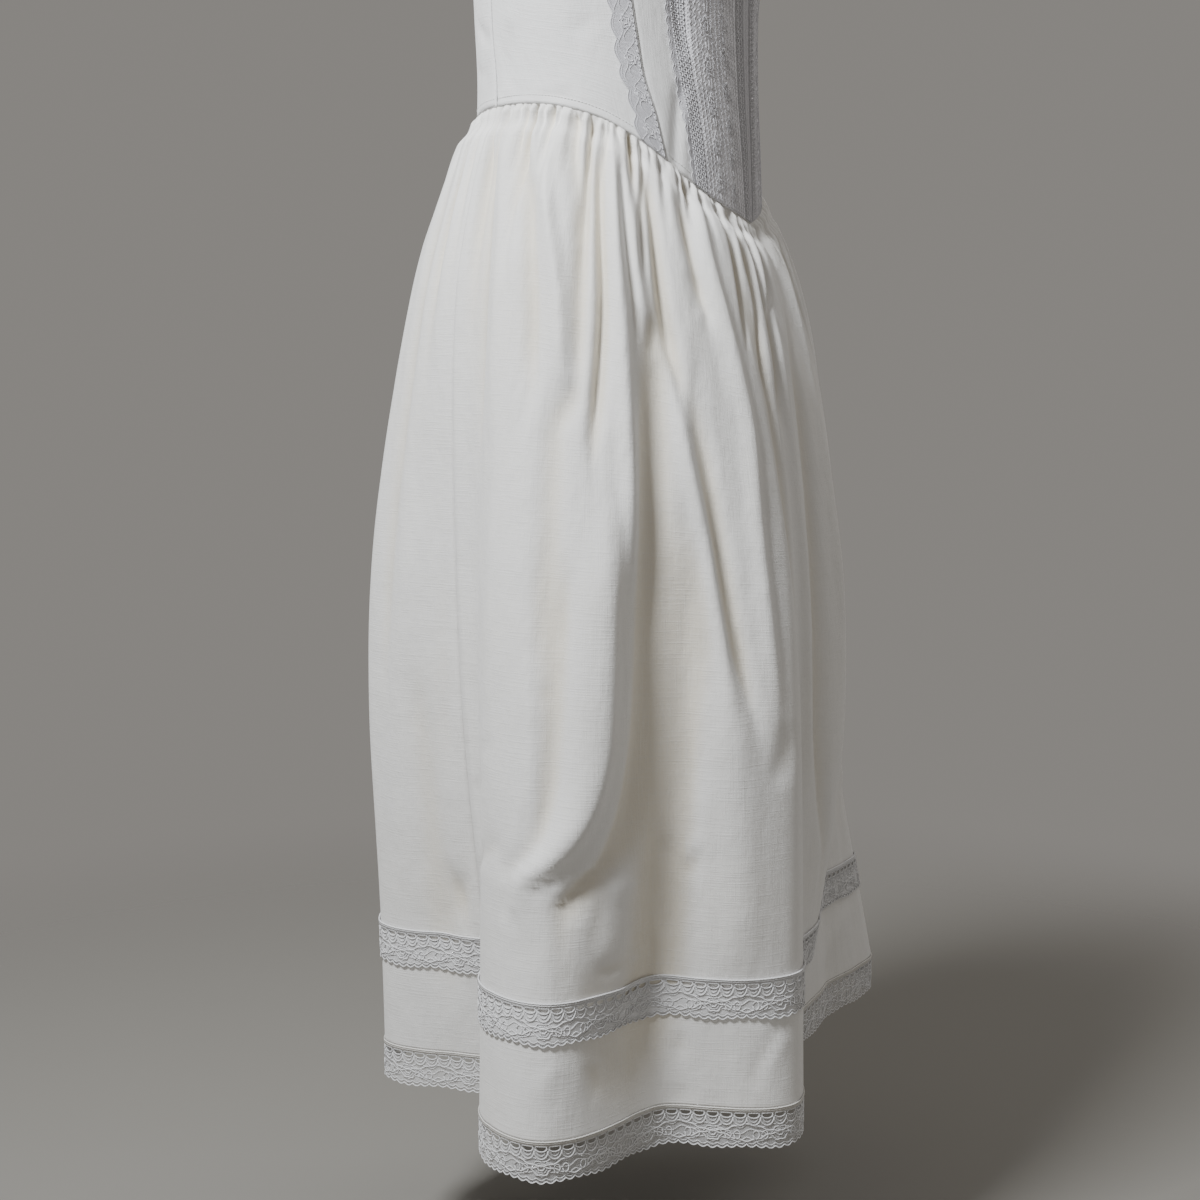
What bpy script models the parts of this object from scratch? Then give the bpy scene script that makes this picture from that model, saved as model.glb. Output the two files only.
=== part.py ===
"""Wedding dress with a V-pointed waist seam, a gathered skirt and lace trimmings, as it hangs when worn.

Metres, +Z up. The origin is the middle of the shoulders, the dress faces -Y and the
wearer's right is -X. Angles run from centre front (0) over the wearer's right side (90)
to centre back (180). Heights named "height" are above the hem lace's lower edge.
"""

import bpy
import bmesh
import numpy as np

# Overall sizes
FULL_LENGTH = 1.350  # shoulder to the hem lace's lower edge
SIDE_SEAM_HEIGHT = 0.945  # waist seam at the side
CLOTH_EDGE_HEIGHT = 0.040  # skirt cloth's lower edge
CLOTH = 0.0012  # wall of a bodice panel
SKIRT_CLOTH = 0.0015  # wall of the skirt, measured level
LACE = 0.0010  # wall of a lace piece
SEAM_GAP = 0.0004  # between two sewn pieces
LACE_LIFT = 0.0004  # between a panel and the lace that lies on it
WAIST_GAP = 0.0006  # between the bodice's lower edge and the gathers under it

# Gathers
FRONT_GATHERS = 52
BACK_GATHERS = 24
GATHER_UNEVENNESS = 0.2  # share by which the gathers' depths vary
EVEN_FALL = 0.75  # share of the fall below which the gathers stand evenly along the hem
SKIRT_SEAM_ANGLE = 121.0  # the seam between the skirt's front and back

# Waist seam: angle, height
WAIST_SEAM = (
    (0, 0.8415),
    (12, 0.8500),
    (24, 0.8610),
    (36, 0.8775),
    (45, 0.894),
    (54, 0.909),
    (65, 0.925),
    (76, 0.935),
    (90, 0.943),
    (105, 0.946),
    (125, 0.945),
    (150, 0.940),
    (180, 0.937),
)

# Level sections of the bodice: height over the origin, half width, front depth, back depth
BODICE_SECTIONS = (
    (-0.520, 0.146, 0.1335, 0.137),
    (-0.450, 0.145, 0.1305, 0.136),
    (-0.380, 0.143, 0.1270, 0.134),
    (-0.315, 0.147, 0.1255, 0.136),
    (-0.250, 0.156, 0.1300, 0.137),
    (-0.190, 0.164, 0.1310, 0.134),
    (-0.130, 0.166, 0.1180, 0.121),
    (-0.080, 0.165, 0.0900, 0.098),
    (-0.042, 0.153, 0.0560, 0.064),
    (-0.020, 0.116, 0.0320, 0.038),
    (0.000, 0.079, 0.0120, 0.014),
)
CUP_ANGLE = 37.0
CUP_HEIGHT = -0.195
CUP_DEPTH = 0.021
CUP_WIDTH = 19.0  # degrees
CUP_TALL = 0.055

# Edges of the bodice's panels: distance from the centre line, height over the origin
PRINCESS_TOP = -0.150  # where the princess seam runs into the armhole
PRINCESS_SEAM = (
    (0.103, -0.452),
    (0.1085, -0.420),
    (0.116, -0.380),
    (0.124, -0.318),
    (0.138, -0.250),
    (0.148, -0.200),
    (0.1505, -0.150),
)
BACK_SEAM = (
    (0.122, -0.405),
    (0.121, -0.350),
    (0.125, -0.300),
    (0.138, -0.220),
    (0.150, -0.150),
)
ARMHOLE_UPPER = ((0.1505, -0.150), (0.1490, -0.110), (0.1495, -0.075))
NECK_FRONT = ((0.0, -0.088), (0.030, -0.084), (0.055, -0.069), (0.070, -0.044), (0.0760, -0.018))
NECK_BACK = ((0.0, -0.024), (0.035, -0.021), (0.060, -0.013))
SHOULDER_NECK = -0.001  # height of the shoulder seam at the neck
SHOULDER_TIP = -0.042
# The armhole's lower half: angle, height over the origin
ARMHOLE_LOWER = (
    (66, -0.150),
    (73, -0.181),
    (82, -0.200),
    (92, -0.206),
    (102, -0.200),
    (110, -0.181),
    (115, -0.150),
)
PRINCESS_WAIST_ANGLE = 45.5
BACK_WAIST_ANGLE = 121.0
SHOULDER_ANGLE = 89.6  # where a panel ends at the shoulder seam
SEAM_ROWS = 9  # rows of a panel below the armhole
ARMHOLE_ROWS = 6
SIDE_COLUMNS = 8
STRIP_COLUMNS = 3  # of the side panel's columns, those that carry the lace strip
BACK_COLUMNS = 7  # in half of the back

# Skirt folds at three levels: name, then angle and radius at the hip, the knee and the hem
SKIRT_FOLDS = (
    ("front hollow", 6, 0.186, 8, 0.203, 4, 0.190),
    ("front right ridge", 24, 0.199, 25, 0.240, 28, 0.258),
    ("front right hollow", 53, 0.194, 54, 0.222, 54, 0.211),
    ("right lobe", 76, 0.206, 77, 0.262, 80, 0.302),
    ("right lobe's turn", 94, 0.204, 92, 0.250, 91, 0.278),
    ("right side-back hollow", 113, 0.188, 114, 0.182, 115, 0.140),
    ("right side-back rise", 127, 0.200, 128, 0.206, 129, 0.172),
    ("back right lobe", 150, 0.209, 151, 0.245, 147, 0.238),
    ("back hollow", 180, 0.204, 180, 0.232, 178, 0.205),
    ("back left lobe", 210, 0.214, 208, 0.250, 212, 0.246),
    ("left side-back hollow", 243, 0.192, 242, 0.200, 240, 0.165),
    ("left lobe's back", 264, 0.204, 262, 0.246, 266, 0.290),
    ("left lobe", 288, 0.208, 290, 0.284, 294, 0.377),
    ("left lobe's front", 303, 0.200, 305, 0.232, 304, 0.262),
    ("front left hollow", 318, 0.194, 320, 0.222, 325, 0.190),
    ("front left ridge", 342, 0.198, 343, 0.225, 346, 0.182),
)
# How the skirt springs out below the seam: share of the fall, share of the hip's radius gained
SPRING = ((0.0, 0.0), (0.0166, 0.08), (0.03, 0.24), (0.07, 0.47), (0.12, 0.69), (0.17, 0.87), (0.22, 1.0))
KNEE_FALL = 0.55

# Rings of the skirt: height at the side, share of the V that it follows, points in a gather, gather depth
SKIRT_RINGS = (
    (0.945, 1.00, 4, 0.0022),
    (0.928, 1.00, 4, 0.0036),
    (0.895, 0.98, 4, 0.0032),
    (0.845, 0.92, 2, 0.0018),
    (0.770, 0.74, 1, 0.0),
    (0.700, 0.56, 1, 0.0),
    (0.620, 0.35, 1, 0.0),
    (0.510, 0.12, 1, 0.0),
    (0.390, 0.02, 1, 0.0),
    (0.270, 0.0, 1, 0.0),
    (0.162, 0.0, 1, 0.0),
    (0.122, 0.0, 1, 0.0),
    (0.040, 0.0, 1, 0.0),
)
BAND_RINGS = (10, 11)  # the two rings that the upper lace band lies between

# Hem lace: its beading holes lie under a narrow heading
HOLE_PITCH = 0.0126
HOLE_WIDTH = 0.0098
HOLE_TOP = 0.0350
HOLE_BOTTOM = 0.0304
HEM_SAMPLES = 1441  # points at which the hem's length is measured

# Lines down the front's right half, each where a lace piece begins or ends.
# Name, then the distance from the centre line at the waist seam and at the heights below, and at the top
LINE_HEIGHTS = (-0.430, -0.360, -0.300, -0.200)
FRONT_LINES = (
    ("centre front", 0.0, 0.0, 0.0, 0.0, 0.0, 0.0),
    ("inner galloon, inside", 0.0045, 0.0065, 0.0085, 0.0100, 0.0110, 0.0110),
    ("inner galloon, outside", 0.0130, 0.0180, 0.0215, 0.0240, 0.0260, 0.0260),
    ("plastron, first third", 0.0300, 0.0350, 0.0410, 0.0450, 0.0470, 0.0520),
    ("plastron, second third", 0.0500, 0.0550, 0.0620, 0.0660, 0.0680, 0.0788),
    ("outer galloon, inside", 0.0680, 0.0720, 0.0820, 0.0890, 0.0920, 0.0940),
    ("outer galloon, outside", 0.0830, 0.0880, 0.0985, 0.1060, 0.1100, 0.1110),
)
STRIP_ANGLE = 11.5  # width of the lace strip on the side panel, in degrees round the bodice

BODICE_WHITE = (0.80, 0.80, 0.80)
SKIRT_IVORY = (0.83, 0.81, 0.76)
LACE_GREY = (0.70, 0.70, 0.74)
LACE_WHITE = (0.84, 0.84, 0.83)


def clearScene():
    for thing in list(bpy.data.objects):
        bpy.data.objects.remove(thing, do_unlink=True)


def clothMaterial(name, colour, roughness):
    material = bpy.data.materials.new(name)
    material.use_nodes = True
    shader = material.node_tree.nodes["Principled BSDF"]
    shader.inputs["Base Color"].default_value = (*colour, 1.0)
    shader.inputs["Roughness"].default_value = roughness
    shader.inputs["Metallic"].default_value = 0.0
    return material


def smoothCurve(x, knots, values):
    """A cubic through the knots that doesn't overshoot. Values may hold a row of columns for each knot."""
    x = np.asarray(x, float)
    knots = np.asarray(knots, float)
    values = np.asarray(values, float)
    steps = np.diff(knots)
    wide = steps.reshape((-1,) + (1,) * (values.ndim - 1))
    rises = np.diff(values, axis=0) / wide
    before, after = rises[:-1], rises[1:]
    same = before * after > 0
    inner = np.where(same, 2 * before * after / np.where(same, before + after, 1), 0)
    slopes = np.concatenate([rises[:1], inner, rises[-1:]])
    x = np.clip(x, knots[0], knots[-1])
    index = np.clip(np.searchsorted(knots, x) - 1, 0, len(steps) - 1)
    share = (x - knots[index]) / steps[index]
    if values.ndim == 2:
        column = np.arange(values.shape[1])
        low, high = values[index, column], values[index + 1, column]
        rise, fall = slopes[index, column], slopes[index + 1, column]
    else:
        low, high, rise, fall = values[index], values[index + 1], slopes[index], slopes[index + 1]
    turned = 1 - share
    return (
        low * (1 + 2 * share) * turned**2
        + high * share**2 * (1 + 2 * turned)
        + steps[index] * share * turned * (rise * turned - fall * share)
    )


def tableColumn(table, number):
    return np.array([row[number] for row in table], float)


def bodiceSection(z, column):
    return smoothCurve(z, tableColumn(BODICE_SECTIONS, 0), tableColumn(BODICE_SECTIONS, column))


def bodiceSurface(angle, z):
    """Points of the bodice's outer surface: half ovals, front and back, with a cup swelling on each side."""
    angle, z = np.broadcast_arrays(np.asarray(angle, float), np.asarray(z, float))
    turn = np.radians(angle)
    across, along = np.sin(turn), np.cos(turn)
    depth = np.where(along >= 0, bodiceSection(z, 2), bodiceSection(z, 3))
    folded = np.abs((angle + 180) % 360 - 180)
    fromCup = ((folded - CUP_ANGLE) / CUP_WIDTH) ** 2 + ((z - CUP_HEIGHT) / CUP_TALL) ** 2
    swelling = CUP_DEPTH * np.exp(-fromCup)
    return np.stack(
        [-across * (bodiceSection(z, 1) + swelling), -along * (depth + swelling), z],
        axis=-1,
    )


def bodiceNormals(angle, z):
    step = 0.05
    lift = 0.0002
    around = bodiceSurface(angle + step, z) - bodiceSurface(angle - step, z)
    upward = bodiceSurface(angle, z + lift) - bodiceSurface(angle, z - lift)
    normal = np.cross(upward, around)
    return normal / np.linalg.norm(normal, axis=-1, keepdims=True)


def angleAt(across, z, back=False):
    """The angle of a point that lies this far from the centre line at this height."""
    limit = np.sin(np.radians(SHOULDER_ANGLE))
    turn = np.degrees(np.arcsin(np.clip(across / bodiceSection(z, 1), -limit, limit)))
    return 180 - turn if back else turn


def ridgeAcross(z):
    """How far from the centre line the shoulder seam lies, on the ridge between the ovals."""
    return bodiceSection(z, 1) * np.sin(np.radians(SHOULDER_ANGLE))


def shoulderHeight(across):
    z = np.linspace(SHOULDER_NECK, SHOULDER_TIP, 400)
    return np.interp(across, ridgeAcross(z), z)


def shoulderLine(count):
    """Distances and heights down the shoulder seam, from the neck to the tip."""
    across = np.linspace(ridgeAcross(SHOULDER_NECK), ridgeAcross(SHOULDER_TIP), count)
    return np.stack([across, shoulderHeight(across)], axis=-1)


def armholeLine(rows):
    """Distances and heights up the armhole's edge, from the end of a seam to the shoulder's tip."""
    return alongTable((*ARMHOLE_UPPER, shoulderLine(2)[-1]), rows)


def seamHeight(angle):
    folded = np.abs((np.asarray(angle, float) + 180) % 360 - 180)
    return smoothCurve(folded, tableColumn(WAIST_SEAM, 0), tableColumn(WAIST_SEAM, 1))


def seamEdgeHeight(angle):
    """Height of the bodice's lower edge, which runs straight between its panels' columns."""
    corners = np.concatenate([frontFeet(), sideFeet()[1:], backFeet()[1:]])
    folded = np.abs((np.asarray(angle, float) + 180) % 360 - 180)
    return np.interp(folded, corners, seamHeight(corners))


def frontFeet():
    """Angles at which the front's lines and the princess seam stand on the waist seam."""
    across = tableColumn(FRONT_LINES, 1)
    turns = np.zeros(len(across))
    for _ in range(8):
        turns = angleAt(across, seamHeight(turns) - FULL_LENGTH)
    return np.append(turns, PRINCESS_WAIST_ANGLE)


def sideFeet():
    strip = np.linspace(0, STRIP_ANGLE, STRIP_COLUMNS)
    rest = np.linspace(STRIP_ANGLE, BACK_WAIST_ANGLE - PRINCESS_WAIST_ANGLE, SIDE_COLUMNS - STRIP_COLUMNS + 1)
    return PRINCESS_WAIST_ANGLE + np.append(strip, rest[1:])


def backFeet():
    return np.linspace(BACK_WAIST_ANGLE, 180, BACK_COLUMNS)


def alongTable(table, count):
    """Points spread evenly by length along a smooth curve through a table's rows."""
    rows = np.array(table, float)
    lengths = np.concatenate([[0], np.cumsum(np.linalg.norm(np.diff(rows, axis=0), axis=1))])
    wanted = np.linspace(0, lengths[-1], count)
    return np.column_stack([smoothCurve(wanted, lengths, column) for column in rows.T])


def patchBetween(bottom, top, left, right, share=None):
    """A Coons patch: the grid of points that four edges of points enclose. Rows run from bottom to top."""
    s = (np.linspace(0, 1, len(bottom)) if share is None else share)[None, :, None]
    t = np.linspace(0, 1, len(left))[:, None, None]
    between = (1 - t) * bottom[None] + t * top[None] + (1 - s) * left[:, None] + s * right[:, None]
    corners = (
        (1 - s) * (1 - t) * bottom[0]
        + s * (1 - t) * bottom[-1]
        + (1 - s) * t * top[0]
        + s * t * top[-1]
    )
    return between - corners


def drawInEdges(grid, gap):
    """Moves the grid's two side columns inwards by half a seam's gap."""
    for edge, inner in ((0, 1), (-1, -2)):
        way = grid[:, inner] - grid[:, edge]
        grid[:, edge] += way / np.linalg.norm(way, axis=-1, keepdims=True) * gap / 2
    return grid


def bandFaces(upper, lower):
    """Triangles between two rows of point numbers. The upper row may hold twice as many columns."""
    faces = []
    if len(upper) == len(lower):
        for k in range(len(upper) - 1):
            faces.append((upper[k], lower[k], lower[k + 1]))
            faces.append((upper[k], lower[k + 1], upper[k + 1]))
        return faces
    for k in range(len(lower) - 1):
        faces.append((upper[2 * k], lower[k], upper[2 * k + 1]))
        faces.append((lower[k], lower[k + 1], upper[2 * k + 1]))
        faces.append((upper[2 * k + 1], lower[k + 1], upper[2 * k + 2]))
    return faces


def wallObject(name, outer, inner, material):
    """A closed wall between an outer and an inner list of rows."""
    points = []
    numbers = []
    for side in (outer, inner):
        rows = []
        for row in side:
            rows.append(np.arange(len(points), len(points) + len(row)))
            points.extend(row)
        numbers.append(rows)
    outside, inside = numbers
    faces = []
    for k in range(len(outside) - 1):
        faces += bandFaces(outside[k], outside[k + 1])
        faces += [face[::-1] for face in bandFaces(inside[k], inside[k + 1])]
    for edge, flip in ((0, False), (-1, True)):
        rim = bandFaces(inside[edge], outside[edge])
        faces += [face[::-1] for face in rim] if flip else rim
        side = bandFaces([row[edge] for row in outside], [row[edge] for row in inside])
        faces += [face[::-1] for face in side] if flip else side
    return meshObject(name, points, faces, material)


def meshObject(name, points, faces, material):
    mesh = bpy.data.meshes.new(name)
    mesh.from_pydata([tuple(map(float, p)) for p in points], [], [tuple(map(int, f)) for f in faces])
    work = bmesh.new()
    work.from_mesh(mesh)
    bmesh.ops.recalc_face_normals(work, faces=work.faces)
    work.to_mesh(mesh)
    work.free()
    mesh.shade_smooth()
    mesh.set_sharp_from_angle(angle=np.radians(50))
    mesh.materials.append(material)
    thing = bpy.data.objects.new(name, mesh)
    bpy.context.scene.collection.objects.link(thing)
    return thing


def mirrored(grid):
    """The same grid on the wearer's left, with its columns turned round."""
    return grid[:, ::-1] * np.array([-1, 1, 1])


def panelWall(name, angle, z, thickness, lift, material, left=False, gap=SEAM_GAP):
    """A wall on the bodice's surface, over a grid of angles and heights."""
    surface = bodiceSurface(angle, z)
    normal = bodiceNormals(angle, z)
    outer = drawInEdges(surface + normal * lift, gap)
    inner = drawInEdges(surface + normal * (lift - thickness), gap)
    if left:
        outer, inner = mirrored(outer), mirrored(inner)
    return wallObject(name, list(outer), list(inner), material)


def seamRows(table, foot):
    """A seam from its foot on the waist seam up to the armhole: distances and heights."""
    table = np.array(table, float)
    table[0] = foot
    z = np.linspace(foot[1], PRINCESS_TOP, SEAM_ROWS)
    return np.stack([smoothCurve(z, table[:, 1], table[:, 0]), z], axis=-1)


def seamFoot(angle):
    z = seamHeight(angle) - FULL_LENGTH
    return bodiceSection(z, 1) * np.sin(np.radians(angle)), z


def frontGrid():
    """Angles and heights of the front's right half, whose columns are FRONT_LINES and the princess seam."""
    lower = seamRows(PRINCESS_SEAM, seamFoot(PRINCESS_WAIST_ANGLE))
    seam = np.concatenate([lower, armholeLine(ARMHOLE_ROWS)[1:]])
    share = np.linspace(0, 1, len(seam))
    feet = frontFeet()
    angles, heights = [], []
    for line, turn in zip(FRONT_LINES, feet):
        foot = seamHeight(turn) - FULL_LENGTH
        head = frontNeck(line[-1])
        z = foot + (head - foot) * share
        across = smoothCurve(z, (foot, *LINE_HEIGHTS, head), line[1:])
        angles.append(angleAt(across, z))
        heights.append(z)
    angles.append(angleAt(seam[:, 0], seam[:, 1]))
    heights.append(seam[:, 1])
    return np.column_stack(angles), np.column_stack(heights)


def backGrid():
    """Angles and heights of the whole back, as a patch between its edges on the flat pattern."""
    turns = backFeet()[::-1]
    feet = [seamFoot(turn) for turn in turns]
    bottom = np.array(feet)
    right = np.concatenate([seamRows(BACK_SEAM, bottom[-1]), armholeLine(ARMHOLE_ROWS)[1:]])
    ridge = shoulderLine(BACK_COLUMNS - BACK_COLUMNS // 2)
    neck = alongTable((*NECK_BACK, ridge[0]), BACK_COLUMNS // 2 + 1)
    top = np.concatenate([neck, ridge[1:]])
    half = patchBetween(bottom, top, np.linspace(bottom[0], top[0], len(right)), right)
    turn = angleAt(half[..., 0], half[..., 1], back=True)
    turn[:, 0] = 180.0
    angle = np.concatenate([turn[:, ::-1], 360 - turn[:, 1:]], axis=1)
    return angle, np.concatenate([half[:, ::-1, 1], half[:, 1:, 1]], axis=1)


def sideGrid():
    """Angles and heights of the right side panel. Its first columns carry the lace strip."""
    turns = sideFeet()
    edges = []
    for table, turn, back in ((PRINCESS_SEAM, turns[0], False), (BACK_SEAM, turns[-1], True)):
        seam = seamRows(table, seamFoot(turn))
        edges.append(np.stack([angleAt(seam[:, 0], seam[:, 1], back), seam[:, 1]], axis=-1))
    bottom = np.stack([turns, seamHeight(turns) - FULL_LENGTH], axis=-1)
    share = (turns - turns[0]) / (turns[-1] - turns[0])
    rows = np.array(ARMHOLE_LOWER, float)
    rows[0], rows[-1] = edges[0][-1], edges[1][-1]
    along = np.linspace(0, 1, len(rows))
    top = np.column_stack([smoothCurve(share, along, column) for column in rows.T])
    side = patchBetween(bottom, top, *edges, share)
    return side[..., 0], side[..., 1]


def frontNeck(across):
    """Height of the front's upper edge, neckline and shoulder, at this distance from the centre line."""
    corner = shoulderLine(2)[0]
    rows = np.array((*NECK_FRONT, corner))
    if across > corner[0]:
        return shoulderHeight(across)
    return smoothCurve(across, rows[:, 0], rows[:, 1])


def buildBodice(white, grey):
    front = frontGrid()
    side = sideGrid()
    panelWall("bodice_back", *backGrid(), CLOTH, 0.0, white)
    lacePieces = (
        ("lace_front_edge", front, 0, 1),
        ("lace_galloon_inner", front, 1, 2),
        ("lace_plastron", front, 2, 5),
        ("lace_galloon_outer", front, 5, 6),
        ("lace_princess_strip", side, 0, STRIP_COLUMNS - 1),
    )
    for hand in ("right", "left"):
        left = hand == "left"
        panelWall(f"bodice_front_{hand}", *front, CLOTH, 0.0, white, left)
        panelWall(f"bodice_side_{hand}", *side, CLOTH, 0.0, white, left)
        for name, (angle, z), first, last in lacePieces:
            pick = slice(first, last + 1)
            panelWall(f"{name}_{hand}", angle[:, pick], z[:, pick], LACE, LACE_LIFT + LACE, grey, left)


def foldRadius(turn, level):
    """Radius of the skirt's plan at one of the three levels of the fold table, round the whole circle."""
    knots = tableColumn(SKIRT_FOLDS, 1 + 2 * level)
    values = tableColumn(SKIRT_FOLDS, 2 + 2 * level)
    knots = np.concatenate([knots[-2:] - 360, knots, knots[:2] + 360])
    values = np.concatenate([values[-2:], values, values[:2]])
    return smoothCurve(np.degrees(turn) % 360, knots, values)


def planPoint(angle, fall):
    """Where the skirt is, seen from above, for a share of the fall from the waist seam to the cloth's edge."""
    seam = bodiceSurface(angle, seamHeight(angle) - FULL_LENGTH)
    turn = np.arctan2(-seam[..., 0], -seam[..., 1])
    waist = np.hypot(seam[..., 0], seam[..., 1])
    hip, knee, hem = (foldRadius(turn, level) for level in range(3))
    falls = [row[0] for row in SPRING] + [KNEE_FALL, 1.0]
    radii = [waist + (hip - waist) * row[1] for row in SPRING] + [knee, hem]
    radius = smoothCurve(fall, falls, np.array(radii))
    return np.stack([-radius * np.sin(turn), -radius * np.cos(turn)], axis=-1)


def planNormal(angle, fall):
    """The level direction out of the skirt's plan."""
    step = 0.4
    way = planPoint(angle + step, fall) - planPoint(angle - step, fall)
    way /= np.linalg.norm(way, axis=-1, keepdims=True)
    return np.stack([-way[..., 1], way[..., 0]], axis=-1)


def evenHemAngles(start, end, count):
    """Angles that split a stretch of the hem into equal lengths."""
    turns = np.linspace(start, end, HEM_SAMPLES)
    lengths = np.linalg.norm(np.diff(planPoint(turns, np.ones(HEM_SAMPLES)), axis=0), axis=1)
    total = np.concatenate([[0], np.cumsum(lengths)])
    return np.interp(np.linspace(0, total[-1], count), total, turns), total[-1]


def skirtRows(start, end, gathers, lift, thickness, rings):
    """Outer and inner rows of a skirt panel, or of what lies on it, between two seam angles."""
    count = 4 * gathers + 1
    topAngles = np.linspace(start, end, count)
    hemAngles = evenHemAngles(start, end, count)[0]
    outer, inner = [], []
    for sideHeight, follow, perGather, depth in rings:
        pick = slice(None, None, 4 // perGather)
        dip = seamHeight(topAngles[pick]) - SIDE_SEAM_HEIGHT
        height = sideHeight + follow * dip
        seam = SIDE_SEAM_HEIGHT + dip
        fall = (seam - height) / (seam - CLOTH_EDGE_HEIGHT)
        blend = np.clip(fall / EVEN_FALL, 0, 1)
        blend = blend * blend * (3 - 2 * blend)
        angle = topAngles[pick] * (1 - blend) + hemAngles[pick] * blend
        normal = planNormal(angle, fall)
        number = np.arange(count)[pick]
        uneven = 1 - GATHER_UNEVENNESS * (1 - np.sin(1.7 * number) * np.cos(0.61 * number))
        wave = depth * uneven * np.cos(np.pi * number / 2)
        plan = planPoint(angle, fall) + normal * (wave + lift)[:, None]
        if sideHeight == SIDE_SEAM_HEIGHT:
            height = seamEdgeHeight(angle) - WAIST_GAP
        z = height - FULL_LENGTH
        for rows, depthIn in ((outer, 0.0), (inner, thickness)):
            row = np.column_stack([plan - normal * depthIn, z])
            rows.append(drawInEdges(row[None], SEAM_GAP)[0])
    return outer, inner


def buildSkirt(ivory, white):
    seam = SKIRT_SEAM_ANGLE
    stretches = (("front", -seam, seam, FRONT_GATHERS), ("back", seam, 360 - seam, BACK_GATHERS))
    for name, start, end, gathers in stretches:
        outer, inner = skirtRows(start, end, gathers, 0.0, SKIRT_CLOTH, SKIRT_RINGS)
        wallObject(f"skirt_{name}", outer, inner, ivory)
        rings = [SKIRT_RINGS[k] for k in BAND_RINGS]
        outer, inner = skirtRows(start, end, gathers, LACE_LIFT + LACE, LACE, rings)
        wallObject(f"lace_band_{name}", outer, inner, white)
        buildHemLace(f"lace_hem_{name}", start, end, white)


def buildHemLace(name, start, end, white):
    """A level strip under the cloth's edge, with a hole in the middle of each repeat."""
    length = evenHemAngles(start, end, 2)[1]
    repeats = round(length / HOLE_PITCH)
    pitch = length / repeats
    bar = (pitch - HOLE_WIDTH) / 2
    holes = np.arange(repeats)[:, None] * pitch + [bar, pitch - bar]
    places = np.concatenate([[0], holes.ravel(), [length]])
    even = evenHemAngles(start, end, HEM_SAMPLES)[0]
    angle = np.interp(places, np.linspace(0, length, HEM_SAMPLES), even)
    fall = np.ones(len(angle))
    plan = planPoint(angle, fall)
    normal = planNormal(angle, fall)
    heights = (CLOTH_EDGE_HEIGHT - SEAM_GAP, HOLE_TOP, HOLE_BOTTOM, 0.0)
    sides = []
    for depthIn in (0.0, LACE):
        flat = plan - normal * depthIn
        rows = [np.column_stack([flat, np.full(len(angle), h - FULL_LENGTH)]) for h in heights]
        sides.append(drawInEdges(np.array(rows), SEAM_GAP))
    cutWall(name, *sides, holeRow=1, material=white)


def cutWall(name, outer, inner, holeRow, material):
    """A wall on a grid, with every second cell of one row left open and walled round."""
    rows, columns = outer.shape[:2]
    number = np.arange(2 * rows * columns).reshape(2, rows, columns)
    solid = np.ones((rows - 1, columns - 1), bool)
    solid[holeRow, 1::2] = False
    faces = []
    for r, c in zip(*np.nonzero(solid)):
        corners = ((r, c), (r + 1, c), (r + 1, c + 1), (r, c + 1))
        faces.append([number[(0, *corner)] for corner in corners])
        faces.append([number[(1, *corner)] for corner in reversed(corners)])
        neighbours = ((r, c - 1), (r + 1, c), (r, c + 1), (r - 1, c))
        for k, (nr, nc) in enumerate(neighbours):
            if 0 <= nr < rows - 1 and 0 <= nc < columns - 1 and solid[nr, nc]:
                continue
            a, b = corners[k], corners[(k + 1) % 4]
            faces.append([number[(0, *b)], number[(0, *a)], number[(1, *a)], number[(1, *b)]])
    points = np.concatenate([outer.reshape(-1, 3), inner.reshape(-1, 3)])
    return meshObject(name, points, faces, material)


def main():
    clearScene()
    white = clothMaterial("bodice cloth", BODICE_WHITE, 0.85)
    ivory = clothMaterial("skirt cloth", SKIRT_IVORY, 0.85)
    grey = clothMaterial("bodice lace", LACE_GREY, 0.80)
    laceWhite = clothMaterial("skirt lace", LACE_WHITE, 0.80)
    buildBodice(white, grey)
    buildSkirt(ivory, laceWhite)


main()
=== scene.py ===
import bpy
import numpy as np
from mathutils import Matrix


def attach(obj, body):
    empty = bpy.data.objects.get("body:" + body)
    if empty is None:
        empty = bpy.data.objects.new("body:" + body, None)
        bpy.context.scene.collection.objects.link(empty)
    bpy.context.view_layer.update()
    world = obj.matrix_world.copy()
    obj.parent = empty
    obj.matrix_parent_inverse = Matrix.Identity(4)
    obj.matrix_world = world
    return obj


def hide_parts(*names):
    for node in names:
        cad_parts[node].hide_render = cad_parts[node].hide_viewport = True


# Metres, +Z up. The dress faces -Y, the wearer's right is -X, and zero is the middle of the shoulders.
# Angles run from centre front (0) over the wearer's right side (90) to centre back (180).
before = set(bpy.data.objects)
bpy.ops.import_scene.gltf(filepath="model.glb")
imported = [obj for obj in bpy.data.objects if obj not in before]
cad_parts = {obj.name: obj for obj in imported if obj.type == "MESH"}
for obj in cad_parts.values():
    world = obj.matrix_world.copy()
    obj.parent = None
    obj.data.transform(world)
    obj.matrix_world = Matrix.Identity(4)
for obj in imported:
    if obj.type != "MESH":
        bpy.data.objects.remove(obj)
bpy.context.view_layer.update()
print("frame loaded:", len(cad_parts), "pieces")


# Curves and grids

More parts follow.
